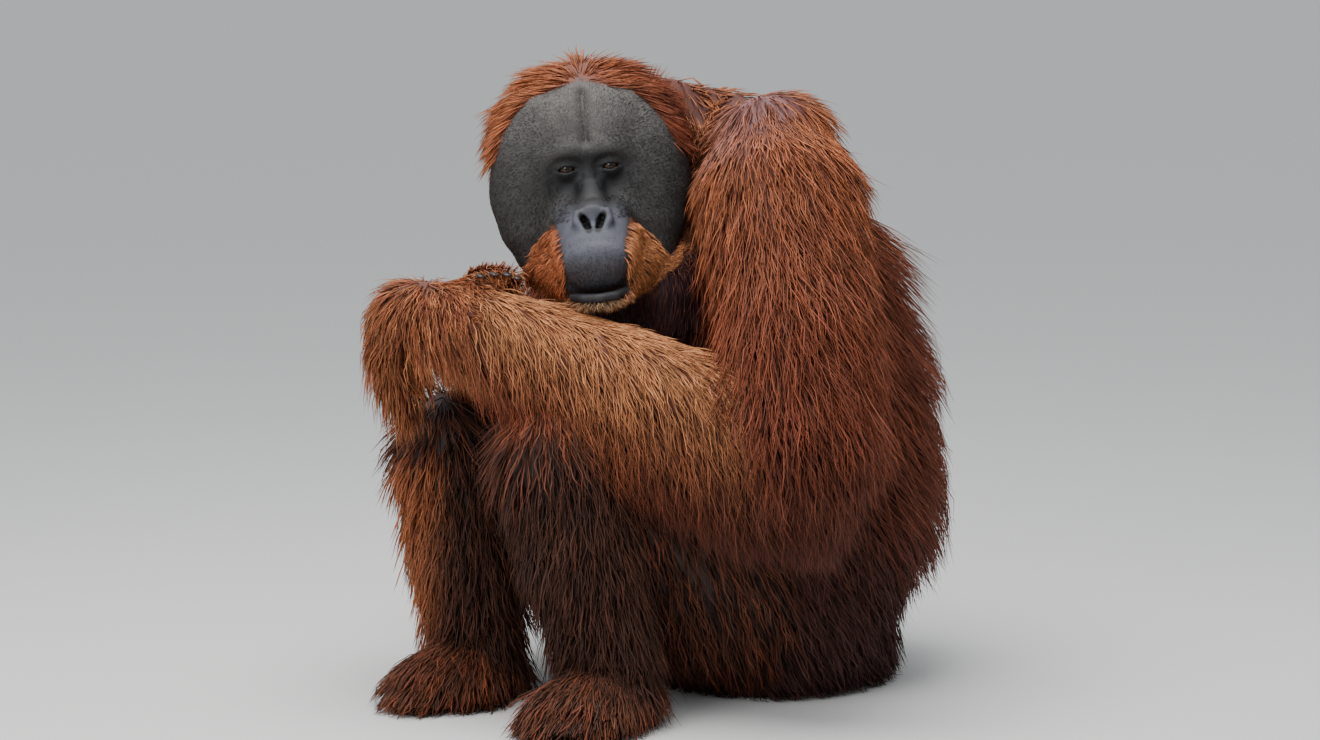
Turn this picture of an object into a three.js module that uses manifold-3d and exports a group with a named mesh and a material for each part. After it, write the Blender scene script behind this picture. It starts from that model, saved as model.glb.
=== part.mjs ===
// A grown male orangutan, seated, with its knees drawn up and its left forearm laid across them.
// Millimetres, +Z up, the viewer on the -Y side. The origin is the middle of the flat of the seat.
// Left and right are the animal's own. The trunk is turned to the viewer's left, and the head
// looks straight at the viewer over the left forearm.

import * as THREE from 'three';
import { ParametricGeometry } from 'three/addons/geometries/ParametricGeometry.js';
import { mergeVertices } from 'three/addons/utils/BufferGeometryUtils.js';
import Module from 'manifold-3d';

const wasm = await Module();
wasm.setup();

// Driving dimensions

const GAP = 0.3; // clearance between two touching pieces
const CORE_SHARE = 0.45; // share of the coat's depth that is solid under the locks
const LOCK_BLOCKED = 0.4; // a lock with more than this share inside its neighbours is left out
const TRUNK_TURN = 60; // degrees from facing the viewer to the way the chest faces
const HEAD_ROLL = - 5.5; // degrees the crown leans to the viewer's left
const HEAD_NOD = 4; // degrees the face tips up towards the viewer
const HEAD_CENTRE = [ - 178, - 165, 670 ]; // middle of the disc of the cheek pads

const EYE_SPACING = 55;
const EYE_RADIUS = 12;
const EYE_CENTRE = [ EYE_SPACING / 2, - 20, 11.5 ];
const MOUTH_HEIGHT = - 138;
const MOUTH_HALF_WIDTH = 42;
const LID_RADII = [ 17, 15, 14.5 ];
const SOCKET_RADII = [ 18, 26, 13 ];
const EAR_CENTRE = [ 113, 52, 6 ];
const EAR_RADII = [ 12, 13, 19 ];
const EAR_HOLLOW_CENTRE = [ 126, 48, 8 ];
const EAR_HOLLOW_RADII = [ 11, 8, 12 ];
const FLOOR_SIZE = 3000;
const FLOOR_DEPTH = 400;
const TANGENT_STEP = 0.02; // share of a run's length over which its direction is measured

// Joints of the limbs

const HIP_LEFT = [ 5, - 115, 130 ];
const HIP_RIGHT = [ - 105, 75, 130 ];
const KNEE_LEFT = [ - 218, - 285, 345 ];
const KNEE_RIGHT = [ - 358, - 60, 322 ];
const ANKLE_LEFT = [ - 152, - 315, 68 ];
const ANKLE_RIGHT = [ - 324, - 118, 66 ];
const SHOULDER_LEFT = [ 54, - 180, 680 ];
const SHOULDER_RIGHT = [ - 122, 150, 680 ];
const ELBOW_LEFT = [ 70, - 340, 362 ];
const ELBOW_RIGHT = [ - 200, 135, 335 ];
const WRIST_LEFT = [ - 298, - 265, 496 ];
const WRIST_RIGHT = [ - 335, - 118, 488 ];
const KNUCKLES_LEFT = [ - 405, - 180, 508 ];
const KNUCKLES_RIGHT = [ - 312, - 190, 516 ];

// Directions

const UP = new THREE.Vector3( 0, 0, 1 );
const turn = THREE.MathUtils.degToRad( TRUNK_TURN );
const FORWARD = new THREE.Vector3( - Math.sin( turn ), - Math.cos( turn ), 0 );
const THROAT_WAY = new THREE.Vector3( - 0.5, - 0.3, - 0.8 );

const headPose = new THREE.Matrix4().compose(
	new THREE.Vector3( ...HEAD_CENTRE ),
	new THREE.Quaternion().setFromEuler( new THREE.Euler(
		THREE.MathUtils.degToRad( - HEAD_NOD ), THREE.MathUtils.degToRad( HEAD_ROLL ), 0 ) ),
	new THREE.Vector3( 1, 1, 1 ) );

// Solids

function solid( geometry ) {

	const bare = new THREE.BufferGeometry();
	bare.setAttribute( 'position', geometry.getAttribute( 'position' ) );
	bare.setIndex( geometry.getIndex() );
	const merged = mergeVertices( bare, 1e-3 );
	const index = merged.getIndex().array;
	const corners = [];
	for ( let i = 0; i < index.length; i += 3 ) {

		const [ a, b, c ] = index.slice( i, i + 3 );
		if ( a !== b && b !== c && c !== a ) corners.push( a, b, c );

	}

	const mesh = { numProp: 3, vertProperties: merged.getAttribute( 'position' ).array };
	const outward = new wasm.Manifold( new wasm.Mesh( { ...mesh, triVerts: new Uint32Array( corners ) } ) );
	if ( outward.volume() > 0 ) return outward;
	return new wasm.Manifold( new wasm.Mesh( { ...mesh, triVerts: new Uint32Array( corners.reverse() ) } ) );

}

function join( pieces ) {

	return pieces.reduce( ( whole, piece ) => whole.add( piece ) );

}

function largest( body ) {

	return body.decompose().reduce( ( a, b ) => ( a.volume() > b.volume() ? a : b ) );

}

function curve( triples ) {

	return new THREE.CatmullRomCurve3( triples.map( ( triple ) => new THREE.Vector3( ...triple ) ) );

}

// A run of rings. Each row: centre, half sizes of the flesh [ side, front, back ], and depths of
// the coat on them. The point stands t along the run, at an angle round it from its front, and
// at a share of the coat's depth.

function outline( { rows, front = FORWARD } ) {

	const path = curve( rows.map( ( [ centre ] ) => centre ) );
	const flesh = curve( rows.map( ( [ , size ] ) => size ) );
	const coat = curve( rows.map( ( [ , , depth = [ 0, 0, 0 ] ] ) => depth ) );

	return ( t, angle, share, fullness = 1, extra = 0 ) => {

		const inside = THREE.MathUtils.clamp( t, 0, 1 );
		const axis = path.getTangent( THREE.MathUtils.clamp( t, TANGENT_STEP, 1 - TANGENT_STEP ) );
		const face = front.clone().addScaledVector( axis, - front.dot( axis ) ).normalize();
		const side = new THREE.Vector3().crossVectors( axis, face );
		const size = flesh.getPoint( inside ).addScaledVector( coat.getPoint( inside ), share );
		const stretch = fullness * ( 1 + extra / Math.min( size.x, size.y, size.z ) );
		const forwards = Math.cos( angle ) * ( Math.cos( angle ) > 0 ? size.y : size.z );
		return path.getPoint( inside )
			.addScaledVector( axis, ( t - inside ) * path.getLength() )
			.addScaledVector( face, forwards * stretch )
			.addScaledVector( side, Math.sin( angle ) * size.x * stretch );

	};

}

// The solid of a run, closed by blunt ends

function limb( run, extra = 0 ) {

	const { sides = 18, rings = 14, blunt = 3, pose = null } = run;
	const point = outline( run );
	const geometry = new ParametricGeometry( ( u, v, target ) => {

		const t = ( 1 - Math.cos( Math.PI * u ) ) / 2;
		const end = 2 * t - 1;
		const fullness = Math.max( 0, 1 - Math.abs( end ) ** blunt ) ** ( 1 / blunt );
		const beyond = Math.sign( end ) * extra * Math.abs( end ) ** 8;
		const axis = heading( point, t );
		target.copy( point( t, 2 * Math.PI * ( v % 1 ), CORE_SHARE, fullness, extra ) );
		target.addScaledVector( axis, beyond );

	}, rings, sides );
	if ( pose ) geometry.applyMatrix4( pose );
	return solid( geometry );

}

// The way the run goes on at t, from two points on its axis

function heading( point, t ) {

	const ahead = point( Math.min( t + TANGENT_STEP, 1 ), 0, 0, 0 );
	return ahead.sub( point( Math.max( t - TANGENT_STEP, 0 ), 0, 0, 0 ) ).normalize();

}

function ball( centre, radii, pose, detail = 12, extra = 0 ) {

	const geometry = new THREE.SphereGeometry( 1, detail * 2, detail );
	geometry.scale( ...radii.map( ( radius ) => radius + extra ) );
	geometry.translate( ...centre );
	if ( pose ) geometry.applyMatrix4( pose );
	return solid( geometry );

}

function mirrored( rows ) {

	return rows.map( ( [ centre, ...rest ] ) => [ [ - centre[ 0 ], centre[ 1 ], centre[ 2 ] ], ...rest ] );

}

// Points part of the way between two joints, moved off the line by an offset

function between( a, b, share, offset = [ 0, 0, 0 ] ) {

	return a.map( ( value, i ) => value + share * ( b[ i ] - value ) + offset[ i ] );

}

// Locks of a coat: flat, tapered runs in tiers, each tier over the gaps of the last. A lock is
// rooted in the core, comes out to the coat's full depth and hangs down at its tip.
// from, to: first and last tier along the run; arc: degrees round it that carry hair;
// reach: share of the run a lock covers, below 0 where it lies back along it;
// width, thickness: half sizes at the root; hang: how far the tip drops.

const LOCK_SHARES = [ - 0.2, 0.6, 0.95, 1 ];
const LOCK_WIDTHS = [ 0.9, 1, 0.8, 0.3 ];
const LOCK_THICKNESSES = [ 1, 1, 0.8, 0.45 ];
const LOCK_CLEARANCE = 3; // lowest that a lock's middle line comes to the floor
const SWAY = 0.1; // radians that a lock leans round its run

function locks( run, { from, to, tiers, count, arc, reach, width, thickness = 7, hang = 0 } ) {

	const point = outline( run );
	const runs = [];
	for ( let tier = 0; tier < tiers; tier ++ ) {

		const root = from + ( to - from ) * tier / Math.max( 1, tiers - 1 );
		for ( let i = 0; i < count; i ++ ) {

			const [ stray, sway, long ] = [ 0, 0, 0 ].map( () => 2 * THREE.MathUtils.seededRandom() - 1 );
			const place = ( i + 0.25 + 0.5 * ( tier % 2 ) + 0.15 * stray ) / count;
			const angle = THREE.MathUtils.degToRad( arc[ 0 ] + ( arc[ 1 ] - arc[ 0 ] ) * place );
			const rows = LOCK_SHARES.map( ( share, k ) => {

				const along = k / ( LOCK_SHARES.length - 1 );
				const centre = point( root + reach * along * ( 1 + 0.15 * long ), angle + SWAY * sway * along, share );
				if ( run.pose ) centre.applyMatrix4( run.pose );
				centre.z = Math.max( centre.z - hang * along ** 1.5, LOCK_CLEARANCE );
				const half = width * LOCK_WIDTHS[ k ];
				const thick = thickness * LOCK_THICKNESSES[ k ];
				return [ centre.toArray(), [ half, thick, thick ] ];

			} );
			const middle = point( root, 0, 0, 0 );
			const front = point( root, angle, 1 ).sub( middle ).normalize();
			if ( run.pose ) front.transformDirection( run.pose );
			runs.push( { rows, front, sides: 4, rings: 4 } );

		}

	}

	return runs;

}

// Head, in its own frame: x to the viewer's right, y to the back of the head, z to the crown

const crownwards = { front: new THREE.Vector3( 0, 0, 1 ), pose: headPose };
const viewwards = { front: new THREE.Vector3( 0, - 1, 0 ), pose: headPose };

const cranium = { ...crownwards, sides: 12, rings: 7, rows: [
	[ [ 0, - 30, 26 ], [ 46, 60, 64 ] ],
	[ [ 0, 16, 34 ], [ 80, 84, 84 ], [ 10, 26, 0 ] ],
	[ [ 0, 80, 36 ], [ 90, 88, 88 ], [ 16, 40, 12 ] ],
	[ [ 0, 172, 20 ], [ 70, 78, 78 ], [ 26, 36, 20 ] ],
] };

const hood = { ...viewwards, sides: 7, rings: 8, rows: [
	[ [ - 124, 26, 46 ], [ 8, 8, 8 ], [ 8, 10, 10 ] ],
	[ [ - 98, 32, 88 ], [ 14, 14, 14 ], [ 14, 14, 12 ] ],
	[ [ - 56, 34, 118 ], [ 18, 16, 18 ], [ 16, 16, 14 ] ],
	[ [ 0, 34, 128 ], [ 20, 16, 20 ], [ 18, 18, 14 ] ],
	[ [ 56, 34, 118 ], [ 18, 16, 18 ], [ 16, 16, 14 ] ],
	[ [ 98, 32, 88 ], [ 14, 14, 14 ], [ 14, 14, 12 ] ],
	[ [ 124, 26, 46 ], [ 8, 8, 8 ], [ 8, 10, 10 ] ],
] };

const muzzle = { ...crownwards, sides: 12, rings: 7, rows: [
	[ [ 0, 30, - 52 ], [ 60, 48, 58 ] ],
	[ [ 0, - 34, - 68 ], [ 54, 40, 50 ] ],
	[ [ 0, - 76, - 90 ], [ 51, 34, 46 ] ],
	[ [ 0, - 112, - 112 ], [ 45, 28, 42 ] ],
] };

const jaw = { ...crownwards, sides: 12, rings: 7, rows: [
	[ [ 0, 40, - 96 ], [ 76, 36, 38 ], [ 16, 0, 16 ] ],
	[ [ 0, - 30, - 124 ], [ 62, 32, 32 ], [ 26, 0, 18 ] ],
	[ [ 0, - 94, - 144 ], [ 40, 22, 20 ], [ 24, 0, 14 ] ],
] };

const bridge = { ...viewwards, sides: 8, rings: 7, rows: [
	[ [ 0, - 20, 30 ], [ 10, 11, 12 ] ],
	[ [ 0, - 33, - 6 ], [ 10, 10, 12 ] ],
	[ [ 0, - 63, - 42 ], [ 15, 13, 18 ] ],
	[ [ 0, - 85, - 62 ], [ 22, 12, 20 ] ],
] };

const brow = { ...viewwards, sides: 7, rings: 8, rows: [
	[ [ - 62, - 14, 22 ], [ 12, 14, 14 ] ],
	[ [ - 30, - 36, 36 ], [ 13, 15, 14 ] ],
	[ [ 0, - 34, 34 ], [ 12, 12, 14 ] ],
	[ [ 30, - 36, 36 ], [ 13, 15, 14 ] ],
	[ [ 62, - 14, 22 ], [ 12, 14, 14 ] ],
] };

const LIP_BACKSET = 34; // how far the corners of the mouth lie behind its middle
const LIP_RISE = 5; // how far they lie above it

function lip( height, forward, halfWidth, thickness ) {

	const ends = [ - 1, - 0.6, 0, 0.6, 1 ];
	return limb( { ...crownwards, sides: 7, rings: 8, blunt: 4, rows: ends.map( ( share ) => [
		[ share * halfWidth, forward + LIP_BACKSET * share ** 2, height + LIP_RISE * share ** 2 ],
		[ thickness, thickness * 0.9, thickness * 0.9 ],
	] ) } );

}

function nostril( hand ) {

	return limb( { ...crownwards, sides: 7, rings: 5, rows: [
		[ [ hand * 10, - 112, - 52 ], [ 5, 6, 6 ] ],
		[ [ hand * 8, - 96, - 58 ], [ 5, 8, 7 ] ],
		[ [ hand * 6, - 74, - 62 ], [ 4, 6, 6 ] ],
	] } );

}

// Lids: a thick shell round each eyeball, open in a slit in front

function lids( hand ) {

	const [ x, y, z ] = EYE_CENTRE;
	const shell = ball( [ hand * x, y, z ], LID_RADII, headPose, 5 );
	const slit = limb( { ...crownwards, sides: 6, rings: 5, rows: [
		[ [ hand * ( x - 14 ), y - 20, z - 1 ], [ 22, 2, 2 ] ],
		[ [ hand * x, y - 24, z ], [ 22, 5, 5.5 ] ],
		[ [ hand * ( x + 14 ), y - 20, z + 1 ], [ 22, 2, 2 ] ],
	] } );
	return shell.subtract( slit );

}

function head( extra ) {

	const [ x, y, z ] = EYE_CENTRE;
	const sockets = [ - 1, 1 ].map( ( hand ) => ball( [ hand * x, y - 28, z ], SOCKET_RADII, headPose, 5 ) );
	const mouth = lip( MOUTH_HEIGHT, - 140, MOUTH_HALF_WIDTH, 3 );
	const whole = join( [
		...[ cranium, hood, muzzle, jaw, brow, bridge ].map( ( run ) => limb( run, extra ) ),
		lip( MOUTH_HEIGHT + 8, - 132, MOUTH_HALF_WIDTH - 6, 9 ),
		lip( MOUTH_HEIGHT - 9, - 126, MOUTH_HALF_WIDTH - 10, 9 ),
	] );
	if ( extra > 0 ) return whole;
	return join( [ whole.subtract( join( sockets ) ), lids( - 1 ), lids( 1 ) ] )
		.subtract( join( [ nostril( - 1 ), nostril( 1 ) ] ) ).subtract( mouth );

}

// Half-moon cheek pads on both sides of the face

const padRows = [
	[ [ 14, - 2, 104 ], [ 20, 12, 14 ] ],
	[ [ 50, - 4, 74 ], [ 40, 20, 20 ] ],
	[ [ 76, - 6, 30 ], [ 46, 26, 22 ] ],
	[ [ 82, - 6, - 14 ], [ 47, 28, 22 ] ],
	[ [ 80, - 8, - 60 ], [ 40, 26, 20 ] ],
	[ [ 78, - 12, - 98 ], [ 24, 18, 16 ] ],
	[ [ 74, - 16, - 126 ], [ 12, 10, 10 ] ],
];

function cheekPad( hand, extra ) {

	const rows = hand > 0 ? padRows : mirrored( padRows );
	return limb( { ...viewwards, sides: 14, rings: 12, rows }, extra );

}

function onSide( hand, [ x, y, z ] ) {

	return [ hand * x, y, z ];

}

function ear( hand, extra ) {

	const shell = ball( onSide( hand, EAR_CENTRE ), EAR_RADII, headPose, 5, extra );
	if ( extra > 0 ) return shell;
	return shell.subtract( ball( onSide( hand, EAR_HOLLOW_CENTRE ), EAR_HOLLOW_RADII, headPose, 5 ) );

}

function eyeball( hand, extra ) {

	return ball( onSide( hand, EYE_CENTRE ), [ EYE_RADIUS, EYE_RADIUS, EYE_RADIUS ], headPose, 6, extra );

}

// Trunk

const neck = { front: THROAT_WAY, sides: 12, rings: 6, rows: [
	[ [ 10, 0, 640 ], [ 120, 100, 100 ], [ 20, 0, 20 ] ],
	[ [ - 70, - 22, 686 ], [ 66, 94, 90 ], [ 16, 0, 24 ] ],
	[ [ - 150, - 62, 686 ], [ 66, 84, 80 ], [ 16, 0, 24 ] ],
] };

const throatSac = { sides: 12, rings: 7, blunt: 2.4, rows: [
	[ [ - 130, - 118, 610 ], [ 80, 50, 70 ] ],
	[ [ - 118, - 122, 545 ], [ 96, 62, 80 ] ],
	[ [ - 104, - 112, 455 ], [ 80, 50, 70 ] ],
] };

const torso = { sides: 16, rings: 11, blunt: 3.4, rows: [
	[ [ 12, 6, - 50 ], [ 170, 130, 150 ], [ 50, 20, 110 ] ],
	[ [ 14, 8, 110 ], [ 195, 160, 165 ], [ 35, 20, 60 ] ],
	[ [ 32, 18, 250 ], [ 200, 170, 172 ], [ 50, 20, 96 ] ],
	[ [ 20, 12, 400 ], [ 188, 160, 165 ], [ 45, 20, 78 ] ],
	[ [ 2, 4, 530 ], [ 185, 145, 150 ], [ 30, 15, 50 ] ],
	[ [ - 12, - 4, 640 ], [ 160, 112, 118 ], [ 30, 10, 40 ] ],
	[ [ - 28, - 14, 730 ], [ 110, 70, 80 ], [ 25, 10, 35 ] ],
] };

// Arms

function upperArm( shoulder, elbow, bow ) {

	return { sides: 12, rings: 8, rows: [
		[ between( shoulder, elbow, - 0.26 ), [ 56, 52, 60 ], [ 12, 20, 26 ] ],
		[ between( shoulder, elbow, 0.06 ), [ 84, 80, 84 ], [ 20, 30, 40 ] ],
		[ between( shoulder, elbow, 0.5, bow ), [ 66, 62, 64 ], [ 24, 30, 60 ] ],
		[ between( shoulder, elbow, 0.9, bow ), [ 56, 54, 56 ], [ 24, 34, 70 ] ],
		[ between( shoulder, elbow, 1.16 ), [ 46, 46, 46 ], [ 20, 30, 60 ] ],
	] };

}

function forearm( elbow, wrist, fringe ) {

	return { front: UP, sides: 12, rings: 8, rows: [
		[ between( elbow, wrist, - 0.14 ), [ 46, 46, 46 ], [ 16, 14, fringe * 0.8 ] ],
		[ between( elbow, wrist, 0.14 ), [ 56, 54, 58 ], [ 20, 16, fringe ] ],
		[ between( elbow, wrist, 0.5 ), [ 52, 48, 50 ], [ 20, 16, fringe ] ],
		[ between( elbow, wrist, 0.84 ), [ 40, 38, 38 ], [ 16, 14, fringe * 0.6 ] ],
		[ between( elbow, wrist, 1.07 ), [ 34, 30, 30 ], [ 14, 14, fringe * 0.35 ] ],
	] };

}

// Digits of a hand or foot: each a thin run from the knuckles by the same steps.
// across: way from the last digit to the thumb's side; the middle digits are the longest.

function digits( knuckles, across, spacing, steps, radius ) {

	return [ 0, 1, 2, 3 ].map( ( i ) => {

		const shift = ( i - 1.5 ) * spacing;
		const length = 1 - 0.12 * Math.abs( i - 1.6 );
		return { front: UP, sides: 5, rings: 4, rows: steps.map( ( step, k ) => [
			knuckles.map( ( value, j ) => value + across[ j ] * shift * ( 1 - 0.08 * k ) + step[ j ] * length ),
			[ radius, radius, radius ].map( ( size ) => size * ( 1 - 0.06 * k ) ),
		] ) };

	} );

}

const palmLeft = { front: UP, sides: 8, rings: 5, rows: [
	[ between( WRIST_LEFT, KNUCKLES_LEFT, - 0.12 ), [ 36, 26, 26 ], [ 14, 14, 14 ] ],
	[ between( WRIST_LEFT, KNUCKLES_LEFT, 0.45 ), [ 44, 26, 24 ], [ 16, 22, 16 ] ],
	[ between( WRIST_LEFT, KNUCKLES_LEFT, 1.14 ), [ 46, 22, 22 ], [ 18, 24, 16 ] ],
] };

const handLeft = [
	palmLeft,
	...digits( KNUCKLES_LEFT, [ 0.62, 0.78, 0 ], 22,
		[ [ 14, - 10, - 4 ], [ - 26, 20, - 10 ], [ - 32, 30, - 62 ], [ - 16, 34, - 104 ], [ 8, 26, - 118 ] ], 15 ),
	{ front: UP, sides: 5, rings: 4, rows: [
		[ between( WRIST_LEFT, KNUCKLES_LEFT, 0.3, [ 18, 22, - 6 ] ), [ 14, 14, 14 ] ],
		[ between( WRIST_LEFT, KNUCKLES_LEFT, 0.62, [ 30, 40, - 16 ] ), [ 12, 12, 12 ] ],
		[ between( WRIST_LEFT, KNUCKLES_LEFT, 0.85, [ 30, 40, - 36 ] ), [ 9, 9, 9 ] ],
	] },
];

const palmRight = { front: UP, sides: 8, rings: 5, rows: [
	[ between( WRIST_RIGHT, KNUCKLES_RIGHT, - 0.2 ), [ 36, 26, 26 ], [ 10, 12, 12 ] ],
	[ between( WRIST_RIGHT, KNUCKLES_RIGHT, 0.45 ), [ 42, 24, 24 ], [ 10, 12, 12 ] ],
	[ between( WRIST_RIGHT, KNUCKLES_RIGHT, 1.16 ), [ 42, 20, 20 ], [ 8, 10, 8 ] ],
] };

const handRight = [
	palmRight,
	...digits( KNUCKLES_RIGHT, [ 0.94, 0.3, - 0.1 ], 21,
		[ [ - 6, 10, - 2 ], [ 8, - 20, 20 ], [ 16, - 44, 36 ], [ 24, - 72, 34 ] ], 13 ),
];

// A foot laid flat. along: the way its toes point; across: the way its big toe stands off.

function foot( ankle, along, across ) {

	const spot = ( forward, sideways, height ) => [
		ankle[ 0 ] + along[ 0 ] * forward + across[ 0 ] * sideways,
		ankle[ 1 ] + along[ 1 ] * forward + across[ 1 ] * sideways,
		height ];
	const step = ( forward, height ) => [ along[ 0 ] * forward, along[ 1 ] * forward, height ];
	return [
		{ front: UP, sides: 12, rings: 7, rows: [
			[ spot( - 52, 0, 30 ), [ 34, 34, 34 ], [ 14, 14, 0 ] ],
			[ spot( 0, 0, 36 ), [ 42, 40, 38 ], [ 20, 30, 0 ] ],
			[ spot( 70, 2, 30 ), [ 50, 28, 34 ], [ 24, 32, 0 ] ],
			[ spot( 128, 2, 26 ), [ 48, 20, 28 ], [ 24, 26, 0 ] ],
		] },
		...digits( spot( 104, 0, 22 ), across, 23,
			[ step( - 14, 4 ), step( 16, 8 ), step( 44, 2 ), step( 56, - 10 ), step( 48, - 12 ) ], 14 ),
		{ front: UP, sides: 5, rings: 4, rows: [
			[ spot( 20, 26, 22 ), [ 15, 15, 15 ] ],
			[ spot( 58, 54, 18 ), [ 14, 14, 14 ] ],
			[ spot( 92, 58, 12 ), [ 11, 11, 12 ] ],
		] },
	];

}

const footLeft = foot( ANKLE_LEFT, [ - 0.42, - 0.907, 0 ], [ - 0.907, 0.42, 0 ] );
const footRight = foot( ANKLE_RIGHT, [ - 0.5, - 0.866, 0 ], [ 0.866, - 0.5, 0 ] );

// Legs

function thigh( hip, knee ) {

	return { front: UP, sides: 12, rings: 7, rows: [
		[ between( hip, knee, - 0.16 ), [ 90, 84, 84 ], [ 20, 10, 40 ] ],
		[ between( hip, knee, 0.2 ), [ 98, 92, 92 ], [ 26, 16, 50 ] ],
		[ between( hip, knee, 0.6 ), [ 80, 74, 76 ], [ 28, 20, 56 ] ],
		[ between( hip, knee, 0.95 ), [ 62, 58, 60 ], [ 28, 24, 44 ] ],
		[ between( hip, knee, 1.16 ), [ 50, 46, 48 ], [ 26, 22, 30 ] ],
	] };

}

function lowerLeg( knee, ankle ) {

	return { sides: 10, rings: 7, rows: [
		[ between( knee, ankle, - 0.16 ), [ 46, 44, 44 ], [ 22, 20, 20 ] ],
		[ between( knee, ankle, 0.06 ), [ 58, 56, 58 ], [ 28, 26, 26 ] ],
		[ between( knee, ankle, 0.4 ), [ 54, 50, 58 ], [ 34, 30, 34 ] ],
		[ between( knee, ankle, 0.8 ), [ 40, 38, 40 ], [ 36, 32, 36 ] ],
		[ between( knee, ankle, 1.1 ), [ 34, 34, 34 ], [ 30, 28, 30 ] ],
	] };

}

// Everything below the floor

function floorSlab() {

	const slab = new THREE.BoxGeometry( FLOOR_SIZE, FLOOR_SIZE, FLOOR_DEPTH );
	slab.translate( 0, 0, - FLOOR_DEPTH / 2 );
	return solid( slab );

}

const COLOURS = {
	crown: 0x97603f, pad: 0x4b4a49, skin: 0x6a5a62, eye: 0x3a2214, back: 0x6b3a28,
	arm: 0x8a5238, forearm: 0xa5633f, hand: 0x7a4a34, leg: 0x3a2218, foot: 0x4e3526,
};

const WET = 0.1;
const SKIN = 0.8;
const HAIR = 0.9;

const armLeft = upperArm( SHOULDER_LEFT, ELBOW_LEFT, [ 10, - 26, 0 ] );
const armRight = upperArm( SHOULDER_RIGHT, ELBOW_RIGHT, [ - 10, 26, 0 ] );
const foreLeft = forearm( ELBOW_LEFT, WRIST_LEFT, 100 );
const foreRight = forearm( ELBOW_RIGHT, WRIST_RIGHT, 50 );
const thighLeft = thigh( HIP_LEFT, KNEE_LEFT );
const thighRight = thigh( HIP_RIGHT, KNEE_RIGHT );
const shinLeft = lowerLeg( KNEE_LEFT, ANKLE_LEFT );
const shinRight = lowerLeg( KNEE_RIGHT, ANKLE_RIGHT );

const crownCoat = {
	from: 0.25, to: 0.7, tiers: 2,
	count: 3, arc: [ - 80, 80 ],
	reach: 0.36, width: 50,
};
const rimCoat = { tiers: 3, count: 1, arc: [ - 110, - 10 ], width: 24 };
const jowlCoat = {
	from: 0.3, to: 0.8, tiers: 2,
	count: 4, arc: [ 95, 265 ],
	reach: 0.3, width: 20, thickness: 5,
};
const armCoat = {
	from: 0.08, to: 0.78, tiers: 3,
	count: 5, arc: [ - 170, 190 ],
	reach: 0.36, width: 54, hang: 8,
};
const fringe = {
	from: 1, to: 0.14, tiers: 6,
	count: 2, arc: [ 120, 235 ],
	reach: - 0.14, width: 40, hang: 6,
};
const foreTop = {
	from: 1, to: 0.3, tiers: 3,
	count: 2, arc: [ - 80, 80 ],
	reach: - 0.34, width: 40, hang: 0,
};
const thighCoat = {
	from: 0.35, to: 0.8, tiers: 2,
	count: 3, arc: [ 60, 300 ],
	reach: 0.22, width: 56, hang: 12,
};
const shinCoat = {
	from: 0.18, to: 0.62, tiers: 2,
	count: 4, arc: [ - 180, 180 ],
	reach: 0.42, width: 44, hang: 0,
};
const footCoat = {
	from: 0.15, to: 0.6, tiers: 2,
	count: 2, arc: [ - 80, 80 ],
	reach: 0.4, width: 34, hang: 10,
};
const handCoat = {
	from: 0.3, to: 0.7, tiers: 1,
	count: 3, arc: [ - 100, 100 ],
	reach: 0.5, width: 26, hang: 6,
};

THREE.MathUtils.seededRandom( 7 );
const coats = {
	head: [
		...locks( cranium, crownCoat ),
		...locks( hood, { ...rimCoat, from: 0.48, to: 0.16, reach: - 0.2 } ),
		...locks( hood, { ...rimCoat, from: 0.52, to: 0.84, reach: 0.2 } ),
		...locks( jaw, jowlCoat ),
	],
	neck: locks( neck, { from: 0.8, to: 0.4, tiers: 1, count: 4, arc: [ 110, 250 ], reach: - 0.5, width: 48 } ),
	torso: locks( torso, {
		from: 0.9, to: 0.3, tiers: 4, count: 7, arc: [ 70, 290 ], reach: - 0.28, width: 62, thickness: 9,
	} ),
	upper_arm_left: locks( armLeft, armCoat ),
	upper_arm_right: locks( armRight, armCoat ),
	thigh_left: locks( thighLeft, thighCoat ),
	thigh_right: locks( thighRight, thighCoat ),
	lower_leg_left: locks( shinLeft, shinCoat ),
	lower_leg_right: locks( shinRight, shinCoat ),
	foot_left: locks( footLeft[ 0 ], footCoat ),
	foot_right: locks( footRight[ 0 ], footCoat ),
	forearm_left: [ ...locks( foreLeft, fringe ), ...locks( foreLeft, foreTop ) ],
	forearm_right: locks( foreRight, { ...fringe, tiers: 3 } ),
	hand_left: locks( palmLeft, handCoat ),
	hand_right: locks( palmRight, { ...handCoat, tiers: 1 } ),
};

// Earlier pieces keep their shape where two meet, and later ones are cut back to them

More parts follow.
